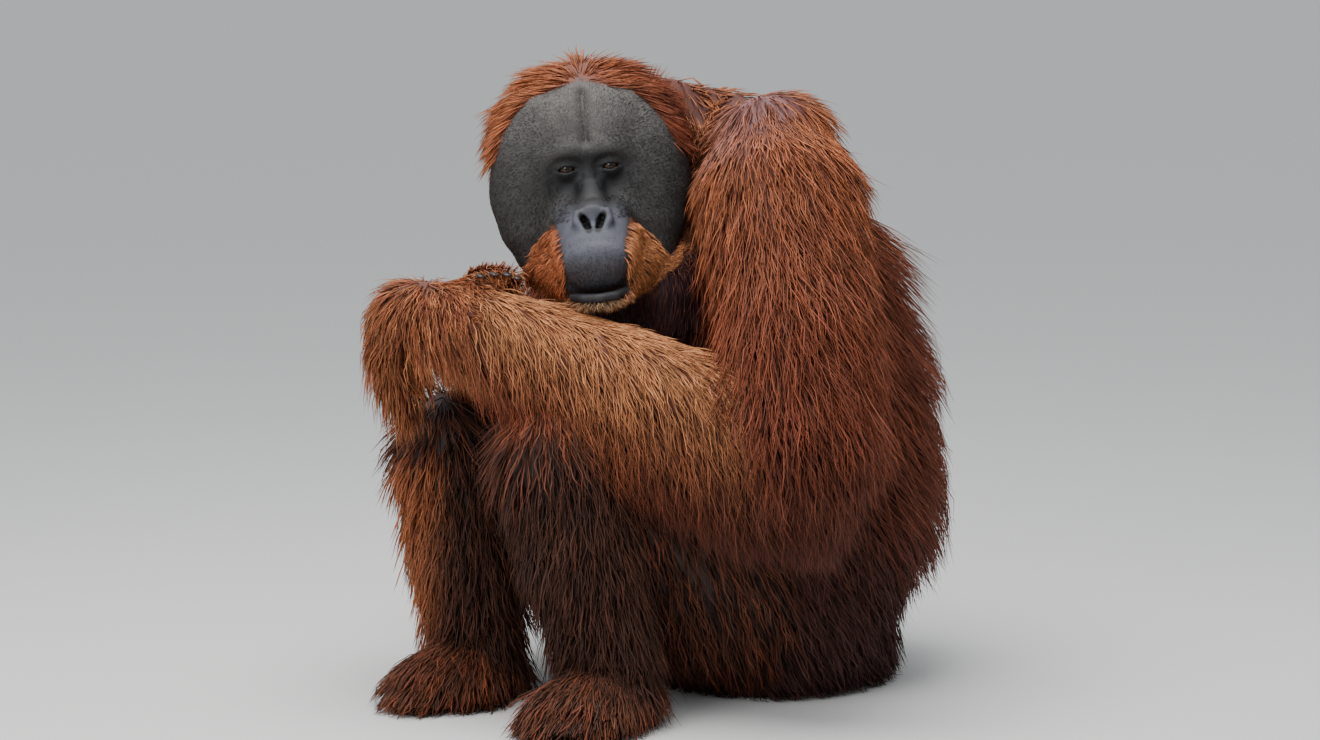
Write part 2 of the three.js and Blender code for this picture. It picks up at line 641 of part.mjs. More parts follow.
const all = ( ...runs ) => ( extra ) => join( runs.map( ( run ) => limb( run, extra ) ) );
const pieces = [
	[ 'eye_left', ( e ) => eyeball( 1, e ), HEAD_CENTRE, COLOURS.eye, WET ],
	[ 'eye_right', ( e ) => eyeball( - 1, e ), HEAD_CENTRE, COLOURS.eye, WET ],
	[ 'cheek_pad_left', ( e ) => cheekPad( 1, e ), HEAD_CENTRE, COLOURS.pad, SKIN ],
	[ 'cheek_pad_right', ( e ) => cheekPad( - 1, e ), HEAD_CENTRE, COLOURS.pad, SKIN ],
	[ 'ear_left', ( e ) => ear( 1, e ), HEAD_CENTRE, COLOURS.skin, SKIN ],
	[ 'ear_right', ( e ) => ear( - 1, e ), HEAD_CENTRE, COLOURS.skin, SKIN ],
	[ 'head', head, HEAD_CENTRE, COLOURS.crown, HAIR ],
	[ 'throat_sac', all( throatSac ), HEAD_CENTRE, COLOURS.skin, SKIN ],
	[ 'neck', all( neck ), HEAD_CENTRE, COLOURS.back, HAIR ],
	[ 'torso', all( torso ), [ 0, 0, 0 ], COLOURS.back, HAIR ],
	[ 'upper_arm_left', all( armLeft ), SHOULDER_LEFT, COLOURS.arm, HAIR ],
	[ 'upper_arm_right', all( armRight ), SHOULDER_RIGHT, COLOURS.arm, HAIR ],
	[ 'thigh_left', all( thighLeft ), HIP_LEFT, COLOURS.leg, HAIR ],
	[ 'thigh_right', all( thighRight ), HIP_RIGHT, COLOURS.leg, HAIR ],
	[ 'lower_leg_left', all( shinLeft ), KNEE_LEFT, COLOURS.leg, HAIR ],
	[ 'lower_leg_right', all( shinRight ), KNEE_RIGHT, COLOURS.leg, HAIR ],
	[ 'foot_left', all( ...footLeft ), ANKLE_LEFT, COLOURS.foot, HAIR ],
	[ 'foot_right', all( ...footRight ), ANKLE_RIGHT, COLOURS.foot, HAIR ],
	[ 'forearm_left', all( foreLeft ), ELBOW_LEFT, COLOURS.forearm, HAIR ],
	[ 'forearm_right', all( foreRight ), ELBOW_RIGHT, COLOURS.forearm, HAIR ],
	[ 'hand_left', all( ...handLeft ), WRIST_LEFT, COLOURS.hand, HAIR ],
	[ 'hand_right', all( ...handRight ), WRIST_RIGHT, COLOURS.hand, HAIR ],
];

const floor = floorSlab();
const wide = pieces.map( ( [ , shape ] ) => shape( GAP ) );
const cores = pieces.map( ( [ , shape ], i ) =>
	wide.slice( 0, i ).reduce( ( body, earlier ) => body.subtract( earlier ), shape( 0 ).subtract( floor ) ) );

// Round the ears and the face the coat stays short, so no lock reaches these

const BARE_MARGIN = 3;
const bare = join( [ - 1, 1 ].flatMap( ( hand ) =>
	[ ear, cheekPad, eyeball ].map( ( shape ) => shape( hand, BARE_MARGIN ) ) ) );

// The coat of a piece: locks that come clear of its neighbours, cut back to them

function coated( name, core, others, placed ) {

	const runs = ( coats[ name ] ?? [] ).filter( ( run ) => {

		const outside = limb( run ).subtract( core );
		const clear = outside.intersect( bare ).volume() < 1;
		return clear && outside.intersect( others ).volume() < LOCK_BLOCKED * outside.volume();

	} );
	if ( runs.length === 0 ) return core;
	const coat = placed.reduce( ( whole, earlier ) => whole.subtract( earlier ),
		join( runs.map( ( run ) => limb( run ) ) ).subtract( others ) );
	placed.push( join( runs.map( ( run ) => limb( run, GAP ) ) ) );
	return core.add( coat );

}

const orangutan = new THREE.Group();
orangutan.name = 'orangutan';
const placedCoats = [];

pieces.forEach( ( [ name, , anchor, color, roughness ], i ) => {

	const others = join( wide.filter( ( _, j ) => j !== i ) ).add( floor );
	const body = largest( coated( name, cores[ i ], others, placedCoats ) );
	const { vertProperties, triVerts } = body.getMesh();
	const geometry = new THREE.BufferGeometry();
	geometry.setAttribute( 'position', new THREE.BufferAttribute( vertProperties, 3 ) );
	geometry.setIndex( new THREE.BufferAttribute( triVerts, 1 ) );
	geometry.translate( - anchor[ 0 ], - anchor[ 1 ], - anchor[ 2 ] );
	geometry.computeVertexNormals();
	const material = new THREE.MeshStandardMaterial( { color, roughness, metalness: 0 } );
	const mesh = new THREE.Mesh( geometry, material );
	mesh.name = name;
	mesh.position.set( ...anchor );
	orangutan.add( mesh );

} );

export default orangutan;
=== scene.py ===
"""A grown male orangutan, seated, with its left forearm across its drawn-up knees."""

import math

import bpy
import numpy as np
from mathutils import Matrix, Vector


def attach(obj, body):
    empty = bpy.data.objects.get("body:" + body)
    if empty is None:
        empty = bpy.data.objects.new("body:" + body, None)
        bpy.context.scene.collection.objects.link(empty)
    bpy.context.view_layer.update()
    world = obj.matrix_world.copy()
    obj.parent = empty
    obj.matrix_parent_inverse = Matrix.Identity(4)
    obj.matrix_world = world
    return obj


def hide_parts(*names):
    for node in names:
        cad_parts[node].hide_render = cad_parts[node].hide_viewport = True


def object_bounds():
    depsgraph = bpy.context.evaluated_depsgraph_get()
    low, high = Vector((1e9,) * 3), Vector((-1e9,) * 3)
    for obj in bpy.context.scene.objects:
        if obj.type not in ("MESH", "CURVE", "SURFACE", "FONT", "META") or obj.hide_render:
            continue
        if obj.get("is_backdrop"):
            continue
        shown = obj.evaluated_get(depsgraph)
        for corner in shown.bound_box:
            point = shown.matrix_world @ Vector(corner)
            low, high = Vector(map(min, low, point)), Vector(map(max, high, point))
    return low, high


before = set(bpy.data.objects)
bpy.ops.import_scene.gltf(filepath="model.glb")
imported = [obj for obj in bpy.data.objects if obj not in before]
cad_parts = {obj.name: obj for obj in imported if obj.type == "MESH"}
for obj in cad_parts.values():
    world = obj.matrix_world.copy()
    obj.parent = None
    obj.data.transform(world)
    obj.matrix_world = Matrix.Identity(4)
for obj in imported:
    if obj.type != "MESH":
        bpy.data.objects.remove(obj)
CAD_LOW, CAD_HIGH = (np.array(corner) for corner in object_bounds())
rng = np.random.default_rng(11)

# ---- Skin of the body
# One skin lies over trunk, limbs, hands and feet. It is dark and thick, and shows where the hair is
# thin: on the throat and on top of the left shoulder. Forms melt into one another where they meet.

MM = 0.001
SKIN_STEP = 6 * MM
SKIN_BLEND, TRUNK_BLEND = 20 * MM, 40 * MM
FAR = 0.06  # distance from a run beyond which it isn't worked out
GRID_MARGIN = 0.02
DISPLAY_GAMMA = 2.2
BODY_BLUR, HEAD_BLUR = 3, 14  # passes that soften the joins of forms
SKIN_SHARE = 0.4  # share of the coat's depth that lies under the skin
CAP = 0.55  # depth of a rounded end, as a share of its smallest half size
CAP_LIMIT = 0.8  # most of the end section's run that the cap takes up
NEAR_AXIS = 0.05  # share of the half size within which a point counts as on the axis
UP = np.array([0.0, 0.0, 1.0])
TRUNK_TURN = math.radians(60)
FORWARD = np.array([-math.sin(TRUNK_TURN), -math.cos(TRUNK_TURN), 0.0])

# Joints of the limbs, in mm
SIDES = ("left", "right")
HIP = {"left": (5, -115, 130), "right": (-105, 75, 130)}
KNEE = {"left": (-218, -285, 345), "right": (-358, -60, 322)}
ANKLE = {"left": (-152, -315, 68), "right": (-324, -118, 66)}
SHOULDER = {"left": (54, -180, 680), "right": (-122, 150, 680)}
ELBOW = {"left": (70, -340, 362), "right": (-200, 135, 335)}
WRIST = {"left": (-298, -265, 496), "right": (-335, -118, 488)}
KNUCKLES = {"left": (-405, -180, 508), "right": (-312, -190, 516)}
ARM_BOW = {"left": (10, -26, 0), "right": (-10, 26, 0)}
FRINGE = {"left": 100, "right": 50}


def unit(vectors):
    """Each vector divided by its own length."""
    return vectors / np.maximum(np.linalg.norm(vectors, axis=-1, keepdims=True), 1e-9)


def between(a, b, share, offset=(0, 0, 0)):
    """The point a share of the way from a to b, moved by an offset."""
    a, b = np.array(a, float), np.array(b, float)
    return tuple(a + share * (b - a) + np.array(offset, float))


def skin_rows(rows):
    """Centres and half sizes in metres, with the skin's share of the coat added, and both ends drawn
    in by the depth of their rounded caps."""
    centres = np.array([row[0] for row in rows], float) * MM
    sizes = np.array([np.array(row[1]) + SKIN_SHARE * np.array(row[2] if len(row) > 2 else (0, 0, 0))
                      for row in rows], float) * MM
    for end, inner in ((0, 1), (-1, -2)):
        run = centres[inner] - centres[end]
        depth = min(CAP * sizes[end].min(), CAP_LIMIT * np.linalg.norm(run))
        centres[end] = centres[end] + unit(run) * depth
    return centres, sizes


def limb_distance(points, rows, front):
    """Distance to a run of oval sections. The nearest place on the run gives the half sizes there,
    to the side, in front and behind; the offset divided by them says how far out the point is."""
    centres, sizes = skin_rows(rows)
    best = np.full(points.shape[:-1], np.inf, points.dtype)
    along = np.zeros(points.shape[:-1], points.dtype)
    around = np.zeros(points.shape[:-1], points.dtype)
    for i in range(len(rows) - 1):
        run = centres[i + 1] - centres[i]
        axis = unit(run)
        face = unit(front - axis * (front @ axis))
        side = np.cross(axis, face)
        frame_of_run = np.stack([side, face, axis], 1).astype(points.dtype)
        local = (points - centres[i].astype(points.dtype)) @ frame_of_run
        length = np.linalg.norm(run)
        share = np.clip(local[..., 2] / length, 0, 1)
        across, ahead, beyond = local[..., 0], local[..., 1], local[..., 2] - share * length
        ease = share * share * (3 - 2 * share)
        width, fore, aft = (sizes[i][k] + ease * (sizes[i + 1][k] - sizes[i][k]) for k in range(3))
        depth = np.where(ahead > 0, fore, aft)
        cap = CAP * np.minimum(width, np.minimum(fore, aft))
        scaled = np.sqrt((across / width) ** 2 + (ahead / depth) ** 2 + (beyond / cap) ** 2)
        reach = np.sqrt(across ** 2 + ahead ** 2 + beyond ** 2)
        distance = np.where(scaled > NEAR_AXIS, reach * (1 - 1 / np.maximum(scaled, NEAR_AXIS)), -cap)
        nearer = distance < best
        best = np.where(nearer, distance, best)
        along = np.where(nearer, (i + share) / (len(rows) - 1), along)
        around = np.where(nearer, np.arctan2(across, ahead) / (2 * np.pi) + 0.5, around)
    return best, along, around


def smooth_union(a, b, blend):
    """The smaller of two distances, rounded where they are within a blend of each other."""
    share = np.clip(0.5 + 0.5 * (b - a) / blend, 0, 1)
    return b + (a - b) * share - blend * share * (1 - share)


def limb_rows(table, start, end, bow=(0, 0, 0), fringe=1):
    """Rows of a limb between two joints. Each entry of its table gives a share of the way, whether
    the bow moves it, the flesh, and the coat, whose depth behind is in shares of the fringe."""
    return [(between(start, end, share, np.array(bow) * bowed), flesh, (side, ahead, behind * fringe))
            for share, bowed, flesh, (side, ahead, behind) in table]


# The upper arm is widest at the shoulder, with its coat deepest behind
UPPER_ARM = ((-0.26, 0, (56, 52, 60), (12, 20, 26)), (0.06, 0, (84, 80, 84), (20, 30, 40)),
             (0.5, 1, (66, 62, 64), (24, 30, 60)), (0.9, 1, (56, 54, 56), (24, 34, 70)),
             (1.16, 0, (46, 46, 46), (20, 30, 60)))
# The forearm ends in a flatter wrist, with a fringe under it
FOREARM = ((-0.14, 0, (46, 46, 46), (16, 14, 0.8)), (0.14, 0, (56, 54, 58), (20, 16, 1)),
           (0.5, 0, (52, 48, 50), (20, 16, 1)), (0.84, 0, (40, 38, 38), (16, 14, 0.6)),
           (1.07, 0, (34, 30, 30), (14, 14, 0.35)))
# The thigh narrows to the knee
THIGH = ((-0.16, 0, (90, 84, 84), (20, 10, 40)), (0.2, 0, (98, 92, 92), (26, 16, 50)),
         (0.6, 0, (80, 74, 76), (28, 20, 56)), (0.95, 0, (62, 58, 60), (28, 24, 44)),
         (1.16, 0, (50, 46, 48), (26, 22, 30)))
# The lower leg has the calf behind
LOWER_LEG = ((-0.16, 0, (46, 44, 44), (22, 20, 20)), (0.06, 0, (58, 56, 58), (28, 26, 26)),
             (0.4, 0, (54, 50, 58), (34, 30, 34)), (0.8, 0, (40, 38, 40), (36, 32, 36)),
             (1.1, 0, (34, 34, 34), (30, 28, 30)))


LONGEST_DIGIT, DIGIT_SHORTER = 1.6, 0.12  # each place away from the longest takes this share off
DIGIT_GATHER, DIGIT_TAPER = 0.08, 0.06  # shares of spacing and of radius lost at each step


def finger_rows(knuckles, across, spacing, count, steps, radius):
    """Rows of each digit: the same steps from a row of knuckles, the middle ones longest."""
    fingers = []
    for i in range(count):
        shift = (i - (count - 1) / 2) * spacing
        length = 1 - DIGIT_SHORTER * abs(i - LONGEST_DIGIT)
        fingers.append([(tuple(np.array(knuckles) + np.array(across) * shift * (1 - DIGIT_GATHER * k)
                               + np.array(step) * length), (radius * (1 - DIGIT_TAPER * k),) * 3)
                        for k, step in enumerate(steps)])
    return fingers


def foot_rows(ankle, along, across):
    """Rows of a foot laid flat: its sole and heel, its four curled toes, and its small big toe."""
    def spot(ahead, sideways, height):
        flat = np.array(ankle[:2]) + np.array(along) * ahead + np.array(across) * sideways
        return (*flat, height)

    sole = [(spot(-52, 0, 30), (34, 32, 29), (14, 14, 0)), (spot(0, 0, 36), (42, 40, 35), (20, 30, 0)),
            (spot(70, 2, 30), (50, 28, 29), (24, 32, 0)), (spot(128, 2, 26), (48, 20, 25), (24, 26, 0))]
    steps = [(along[0] * ahead, along[1] * ahead, height)
             for ahead, height in ((-14, 4), (16, 8), (44, 2), (56, -8), (48, -9))]
    toes = finger_rows(spot(104, 0, 22), (*across, 0), 23, 4, steps, 13)
    big_toe = [(spot(ahead, sideways, height), (radius,) * 3)
               for ahead, sideways, height, radius in ((20, 26, 22, 15), (58, 54, 18, 14), (92, 58, 13, 11))]
    return sole, [*toes, big_toe]


BODY = []


def part(region, rows, front=UP, blend=SKIN_BLEND):
    """Adds one run of sections to the body."""
    BODY.append((region, rows, np.array(front, float), blend))


part("torso", [((12, 6, -50), (170, 130, 150), (50, 20, 110)), ((14, 8, 110), (195, 160, 165), (35, 20, 60)),
               ((32, 18, 250), (200, 170, 172), (50, 20, 96)), ((20, 12, 400), (188, 160, 165), (45, 20, 78)),
               ((2, 4, 530), (185, 145, 150), (30, 15, 50)), ((-12, -4, 640), (160, 112, 118), (30, 10, 40)),
               ((-28, -14, 730), (110, 70, 80), (25, 10, 35))], FORWARD, TRUNK_BLEND)
part("neck", [((10, 0, 640), (120, 100, 100), (20, 0, 20)), ((-70, -22, 686), (66, 94, 90), (16, 0, 24)),
              ((-150, -62, 686), (66, 84, 80), (16, 0, 24))], (-0.5, -0.3, -0.8), TRUNK_BLEND)
part("throat", [((-130, -118, 610), (80, 50, 70)), ((-118, -122, 545), (96, 62, 80)),
                ((-104, -112, 455), (80, 50, 70))], FORWARD, 30 * MM)
for side in SIDES:
    part(f"upper_arm_{side}", limb_rows(UPPER_ARM, SHOULDER[side], ELBOW[side], ARM_BOW[side]),
         FORWARD, TRUNK_BLEND)
for side in SIDES:
    part(f"forearm_{side}", limb_rows(FOREARM, ELBOW[side], WRIST[side], fringe=FRINGE[side]))
for side in SIDES:
    part(f"thigh_{side}", limb_rows(THIGH, HIP[side], KNEE[side]))
for side in SIDES:
    part(f"lower_leg_{side}", limb_rows(LOWER_LEG, KNEE[side], ANKLE[side]), FORWARD)

# A hand: the flat of it, its four fingers and its short thumb
PALMS = {"left": ((-0.12, (36, 26, 26), (14, 14, 14)), (0.45, (44, 26, 24), (16, 22, 16)),
                  (1.14, (46, 22, 22), (18, 24, 16))),
         "right": ((-0.2, (36, 26, 26), (10, 12, 12)), (0.45, (42, 24, 24), (10, 12, 12)),
                   (1.16, (42, 20, 20), (8, 10, 8)))}
for side, palm in PALMS.items():
    part(f"hand_{side}", [(between(WRIST[side], KNUCKLES[side], share), flesh, hair)
                          for share, flesh, hair in palm])
DIGIT_BLEND = 6 * MM
digit_ends = []
hands = {
    "hand_left": (KNUCKLES["left"], (0.62, 0.78, 0), 22,
                  ((14, -10, -4), (-26, 20, -10), (-32, 30, -62), (-16, 34, -104), (8, 26, -118)), 15),
    "hand_right": (KNUCKLES["right"], (0.94, 0.3, -0.1), 21,
                   ((-6, 10, -2), (8, -20, 20), (16, -44, 36), (24, -72, 34)), 13),
}
for name, (knuckles, across, spacing, steps, radius) in hands.items():
    for rows in finger_rows(knuckles, across, spacing, 4, steps, radius):
        part(name, rows, UP, DIGIT_BLEND)
        digit_ends.append(rows)
THUMB = ((0.3, (18, 22, -6), 14), (0.62, (30, 40, -16), 12), (0.85, (30, 40, -36), 9))
part("hand_left", [(between(WRIST["left"], KNUCKLES["left"], share, offset), (radius,) * 3)
                   for share, offset, radius in THUMB], UP, DIGIT_BLEND)
feet = {"foot_left": (ANKLE["left"], (-0.42, -0.907), (-0.907, 0.42)),
        "foot_right": (ANKLE["right"], (-0.5, -0.866), (0.866, -0.5))}
for name, (ankle, along, across) in feet.items():
    sole, toes = foot_rows(ankle, along, across)
    part(name, sole)
    for rows in toes:
        part(name, rows, UP, DIGIT_BLEND)
        digit_ends.append(rows)

# The head's own frame: x to the viewer's right, y to the back, z to the crown
HEAD_CENTRE = np.array([-178, -165, 670]) * MM
HEAD_NOD, HEAD_ROLL = math.radians(-4), math.radians(-5.5)
nod = np.array([[1, 0, 0], [0, math.cos(HEAD_NOD), -math.sin(HEAD_NOD)],
                [0, math.sin(HEAD_NOD), math.cos(HEAD_NOD)]])
roll = np.array([[math.cos(HEAD_ROLL), 0, math.sin(HEAD_ROLL)], [0, 1, 0],
                 [-math.sin(HEAD_ROLL), 0, math.cos(HEAD_ROLL)]])
HEAD_TURN = nod @ roll


def to_head(points):
    """World points in the head's own frame."""
    return (points - HEAD_CENTRE) @ HEAD_TURN


def from_head(points):
    """Points of the head's own frame in the world."""
    return points @ HEAD_TURN.T + HEAD_CENTRE


def grid_points(low, high, step):
    """All corners of a box of cubes with the given step."""
    axes = [np.arange(low[i], high[i] + step, step) for i in range(3)]
    return np.stack(np.meshgrid(*axes, indexing="ij"), -1).astype(np.float32)


def surface_net(field, low, step):
    """The surface where a field on a grid is zero: one vertex in each cube that it crosses, at the
    mean of the crossings on the cube's edges, and one square across each crossed grid edge."""
    inside = field < 0
    shape = np.array(field.shape) - 1
    count = np.zeros(shape, np.int8)
    corners = [(i, j, k) for i in (0, 1) for j in (0, 1) for k in (0, 1)]
    for i, j, k in corners:
        count += inside[i:i + shape[0], j:j + shape[1], k:k + shape[2]]
    mixed = (count > 0) & (count < 8)
    cells = np.argwhere(mixed)
    index = np.full(shape, -1, np.int64)
    index[mixed] = np.arange(len(cells))
    total = np.zeros((len(cells), 3))
    crossings = np.zeros(len(cells))
    for a in corners:
        for axis in range(3):
            if a[axis]:
                continue
            b = tuple(1 if i == axis else a[i] for i in range(3))
            start = field[tuple((cells + a).T)]
            end = field[tuple((cells + b).T)]
            crossed = (start < 0) != (end < 0)
            share = np.where(crossed, start / np.where(crossed, start - end, 1), 0)
            place = np.array(a, float) + share[:, None] * (np.array(b) - np.array(a))
            total += np.where(crossed[:, None], place, 0)
            crossings += crossed
    vertices = low + step * (cells + total / crossings[:, None])
    squares = []
    for axis in range(3):
        u, v = (axis + 1) % 3, (axis + 2) % 3
        lower = [slice(1, -1)] * 3
        upper = [slice(1, -1)] * 3
        lower[axis], upper[axis] = slice(0, -1), slice(1, None)
        below, above = inside[tuple(lower)], inside[tuple(upper)]
        edges = np.argwhere(below != above)
        outward = below[tuple(edges.T)]
        base = edges + 1
        base[:, axis] -= 1
        ring = []
        for du, dv in ((-1, -1), (0, -1), (0, 0), (-1, 0)):
            cell = base.copy()
            cell[:, u] += du
            cell[:, v] += dv
            ring.append(index[tuple(cell.T)])
        ring = np.stack(ring, 1)
        squares.append(np.where(outward[:, None], ring, ring[:, ::-1]))
    return vertices, np.concatenate(squares)


def mesh_object(name, vertices, faces, smooth=True):
    """A mesh object at the origin from arrays of vertices and of faces of one size."""
    mesh = bpy.data.meshes.new(name)
    corners = faces.shape[1]
    mesh.vertices.add(len(vertices))
    mesh.vertices.foreach_set("co", np.ascontiguousarray(vertices, np.float32).ravel())
    mesh.loops.add(faces.size)
    mesh.loops.foreach_set("vertex_index", np.ascontiguousarray(faces, np.int32).ravel())
    mesh.polygons.add(len(faces))
    mesh.polygons.foreach_set("loop_start", np.arange(0, faces.size, corners, dtype=np.int32))
    mesh.polygons.foreach_set("use_smooth", np.full(len(faces), smooth))
    mesh.update(calc_edges=True)
    mesh.validate()
    thing = bpy.data.objects.new(name, mesh)
    bpy.context.scene.collection.objects.link(thing)
    return thing


def paint(thing, name, colours):
    """A colour for each vertex of a mesh, kept under a name."""
    layer = thing.data.color_attributes.new(name, "FLOAT_COLOR", "POINT")
    values = np.column_stack([colours, np.ones(len(colours))])
    layer.data.foreach_set("color", values.astype(np.float32).ravel())


def linear(red, green, blue):
    """A display colour, 0 to 255, as linear light."""
    return (np.array([red, green, blue]) / 255) ** DISPLAY_GAMMA


body_low, body_high = CAD_LOW - GRID_MARGIN, CAD_HIGH + GRID_MARGIN
body_grid = grid_points(body_low, body_high, SKIN_STEP)
body_field = np.full(body_grid.shape[:3], FAR, np.float32)


def add_to_field(field, grid, low, step, rows, front, blend):
    """Joins one run of sections to a field, worked out only in the block of the grid round it."""
    centres, sizes = skin_rows(rows)
    margin = sizes.max() + FAR
    start = np.clip(((centres.min(0) - margin - low) / step).astype(int), 0, field.shape)
    stop = np.clip(((centres.max(0) + margin - low) / step).astype(int) + 1, 0, field.shape)
    block = tuple(slice(a, b) for a, b in zip(start, stop))
    distance = limb_distance(grid[block], rows, front)[0]
    field[block] = smooth_union(field[block], distance, blend)


def blurred(field, passes):
    """The field with each value averaged with its neighbours, half to half, along each axis in turn."""
    for _ in range(passes):
        for axis in range(3):
            field = (np.roll(field, 1, axis) + 2 * field + np.roll(field, -1, axis)) / 4
    return field


for _, rows, front, blend in BODY:
    add_to_field(body_field, body_grid, body_low, SKIN_STEP, rows, front, blend)
body_field = blurred(body_field, BODY_BLUR)

# ---- Face and head
# A short domed skull carries two broad half-moon cheek pads, a deep-browed hollow for the eyes, a
# flat small nose and a full muzzle that stands forward. Each form is a run of oval sections, in mm.

HEAD_STEP = 2.1 * MM
EYE_CENTRE = np.array([27.5, -20, 11.5])
EYE_RADIUS = 12
PAD_ROWS = [((14, -2, 104), (20, 12, 14)), ((50, -4, 74), (40, 20, 20)), ((76, -6, 30), (46, 26, 22)),
            ((82, -6, -14), (47, 28, 22)), ((80, -8, -60), (40, 26, 20)), ((78, -12, -98), (24, 18, 16)),
            ((74, -16, -126), (12, 10, 10))]
FACE_UP, FACE_OUT = np.array([0.0, 0, 1]), np.array([0.0, -1, 0])


def mirrored(rows):
    """The same rows on the other side of the face."""
    return [((-centre[0], centre[1], centre[2]), size) for centre, size in rows]


HOOD_ROWS = [((-118, 26, 46), (8, 8, 8), (6, 8, 8)), ((-92, 32, 86), (14, 14, 14), (12, 12, 10)),
             ((-52, 34, 114), (18, 16, 18), (14, 14, 12)), ((0, 34, 122), (20, 16, 20), (14, 14, 12)),
             ((52, 34, 114), (18, 16, 18), (14, 14, 12)), ((92, 32, 86), (14, 14, 14), (12, 12, 10)),
             ((118, 26, 46), (8, 8, 8), (6, 8, 8))]
DOME_ROWS = [((20, -6, 98), (22, 14, 16)), ((28, -18, 62), (28, 16, 18)), ((30, -22, 40), (26, 14, 16))]
WING_ROWS = [((-18, -78, -42), (6, 8, 8)), ((-20, -86, -56), (6, 7, 8)), ((-11, -92, -69), (5, 6, 7))]
HEAD = [
    ("cranium", [((0, -30, 26), (46, 60, 64)), ((0, 16, 34), (80, 84, 84), (10, 26, 0)),
                 ((0, 80, 36), (90, 88, 88), (16, 40, 12)), ((0, 172, 20), (70, 78, 78), (26, 36, 20))],
     FACE_UP, 10),
    ("hood", HOOD_ROWS, FACE_OUT, 12),
    ("pad", PAD_ROWS, FACE_OUT, 12),
    ("pad", mirrored(PAD_ROWS), FACE_OUT, 12),
    ("dome", DOME_ROWS, FACE_OUT, 16),
    ("dome", mirrored(DOME_ROWS), FACE_OUT, 16),
    ("muzzle", [((0, 20, -52), (60, 48, 58)), ((0, -34, -68), (52, 38, 50)), ((0, -76, -90), (49, 32, 46)),
                ((0, -122, -110), (43, 26, 44))], FACE_UP, 16),
    ("jaw", [((0, 40, -96), (76, 38, 40), (16, 0, 16)), ((0, -30, -116), (70, 42, 38), (16, 0, 12)),
             ((0, -88, -136), (46, 34, 28), (14, 0, 10))], FACE_UP, 16),
    ("brow", [((-56, -18, 26), (10, 10, 10)), ((-30, -33, 33), (11, 12, 10)), ((0, -30, 32), (10, 10, 12)),
              ((30, -33, 33), (11, 12, 10)), ((56, -18, 26), (10, 10, 10))], FACE_OUT, 18),
]
HEAD_FINE = [
    ("nose", [((0, -16, 28), (12, 7, 10)), ((0, -27, -8), (13, 7, 12)), ((0, -52, -36), (16, 11, 16)),
              ((0, -84, -50), (17, 13, 15))], FACE_OUT, 15),
    ("nose", WING_ROWS, FACE_OUT, 7),
    ("nose", mirrored(WING_ROWS), FACE_OUT, 7),
    ("lip", [((-36, -94, -146), (6, 6, 6)), ((-19, -114, -149), (7, 6, 7)), ((0, -121, -150), (8, 6, 7)),
             ((19, -114, -149), (7, 6, 7)), ((36, -94, -145), (6, 6, 6))], FACE_UP, 8),
]
MOUTH = [((-47, -84, -139), (4, 2, 2)), ((-26, -116, -141), (13, 2.2, 2.2)),
         ((0, -130, -142), (15, 2.4, 2.4)), ((26, -116, -140), (13, 2.2, 2.2)),
         ((47, -84, -134), (4, 2, 2))]

head_low, head_high = np.array([-0.15, -0.16, -0.2]), np.array([0.15, 0.225, 0.16])
head_grid = grid_points(head_low, head_high, HEAD_STEP)
head_field = np.full(head_grid.shape[:3], FAR, np.float32)
for _, rows, front, blend in HEAD:
    add_to_field(head_field, head_grid, head_low, HEAD_STEP, rows, front, blend * MM)
head_field = blurred(head_field, HEAD_BLUR)
for _, rows, front, blend in HEAD_FINE:
    add_to_field(head_field, head_grid, head_low, HEAD_STEP, rows, front, blend * MM)
HEAD += HEAD_FINE


def ellipsoid(points, centre, radii):
    """Distance to an ellipsoid along the ray from its centre."""
    offset = points - np.array(centre) * MM
    scaled = np.linalg.norm(offset / (np.array(radii) * MM), axis=-1)
    reach = np.linalg.norm(offset, axis=-1)
    return np.where(scaled > NEAR_AXIS, reach * (1 - 1 / np.maximum(scaled, NEAR_AXIS)), -min(radii) * MM)


def carve(field, tool, blend):
    """Takes a form out of a field, with its rim rounded by the blend."""
    return -smooth_union(-field, tool, blend * MM)


def carve_run(field, rows, front, blend):
    """Takes a run of oval sections out of the head's field."""
    return carve(field, limb_distance(head_grid, rows, front)[0], blend)


def face_depth(across, up):
    """The y of the first skin met from the front at an x and z of the head's own frame, in mm."""
    column = head_field[int(round((across * MM - head_low[0]) / HEAD_STEP)), :,
                        int(round((up * MM - head_low[2]) / HEAD_STEP))]
    return (head_low[1] + np.argmax(column < 0) * HEAD_STEP) / MM


for hand in (-1, 1):
    x, y, z = EYE_CENTRE * (hand, 1, 1)
    head_field = carve(head_field, ellipsoid(head_grid, (x, y - 24, z - 3), (21, 22, 13)), 9)
    lids = ellipsoid(head_grid, (x, y, z), (17.5, 15, 15))
    head_field = smooth_union(head_field, lids, 7 * MM)
    slit = [((x - 15, y - 12, z - 2), (5, 1.6, 1.6)), ((x, y - 19, z - 0.5), (14, 3.6, 3.8)),
            ((x + 15, y - 12, z - 1), (5, 1.6, 1.6))]
    head_field = carve_run(head_field, slit, FACE_UP, 1.5)
    head_field = carve(head_field, ellipsoid(head_grid, (x, y, z), (EYE_RADIUS + 0.2,) * 3), 0.5)
    nostril = [((hand * across, face_depth(hand * across, up) + 1, up), (size, 5, 10))
               for across, up, size in ((13.5, -49, 4.6), (10.5, -56, 6), (6.5, -65, 4))]
    head_field = carve_run(head_field, nostril, FACE_OUT, 2)
    for drop in (0, 9, 17):
        fold = [((hand * (8 + 0.3 * drop), -32 - 0.5 * drop, 0 - drop), (1.6, 1.6, 1.6)),
                ((hand * (27 + 0.3 * drop), -33 - 0.2 * drop, -8 - drop), (2, 1.8, 1.8)),
                ((hand * 50, -27, -6 - 0.7 * drop), (1.6, 1.6, 1.6))]
        head_field = carve_run(head_field, fold, FACE_UP, 4)
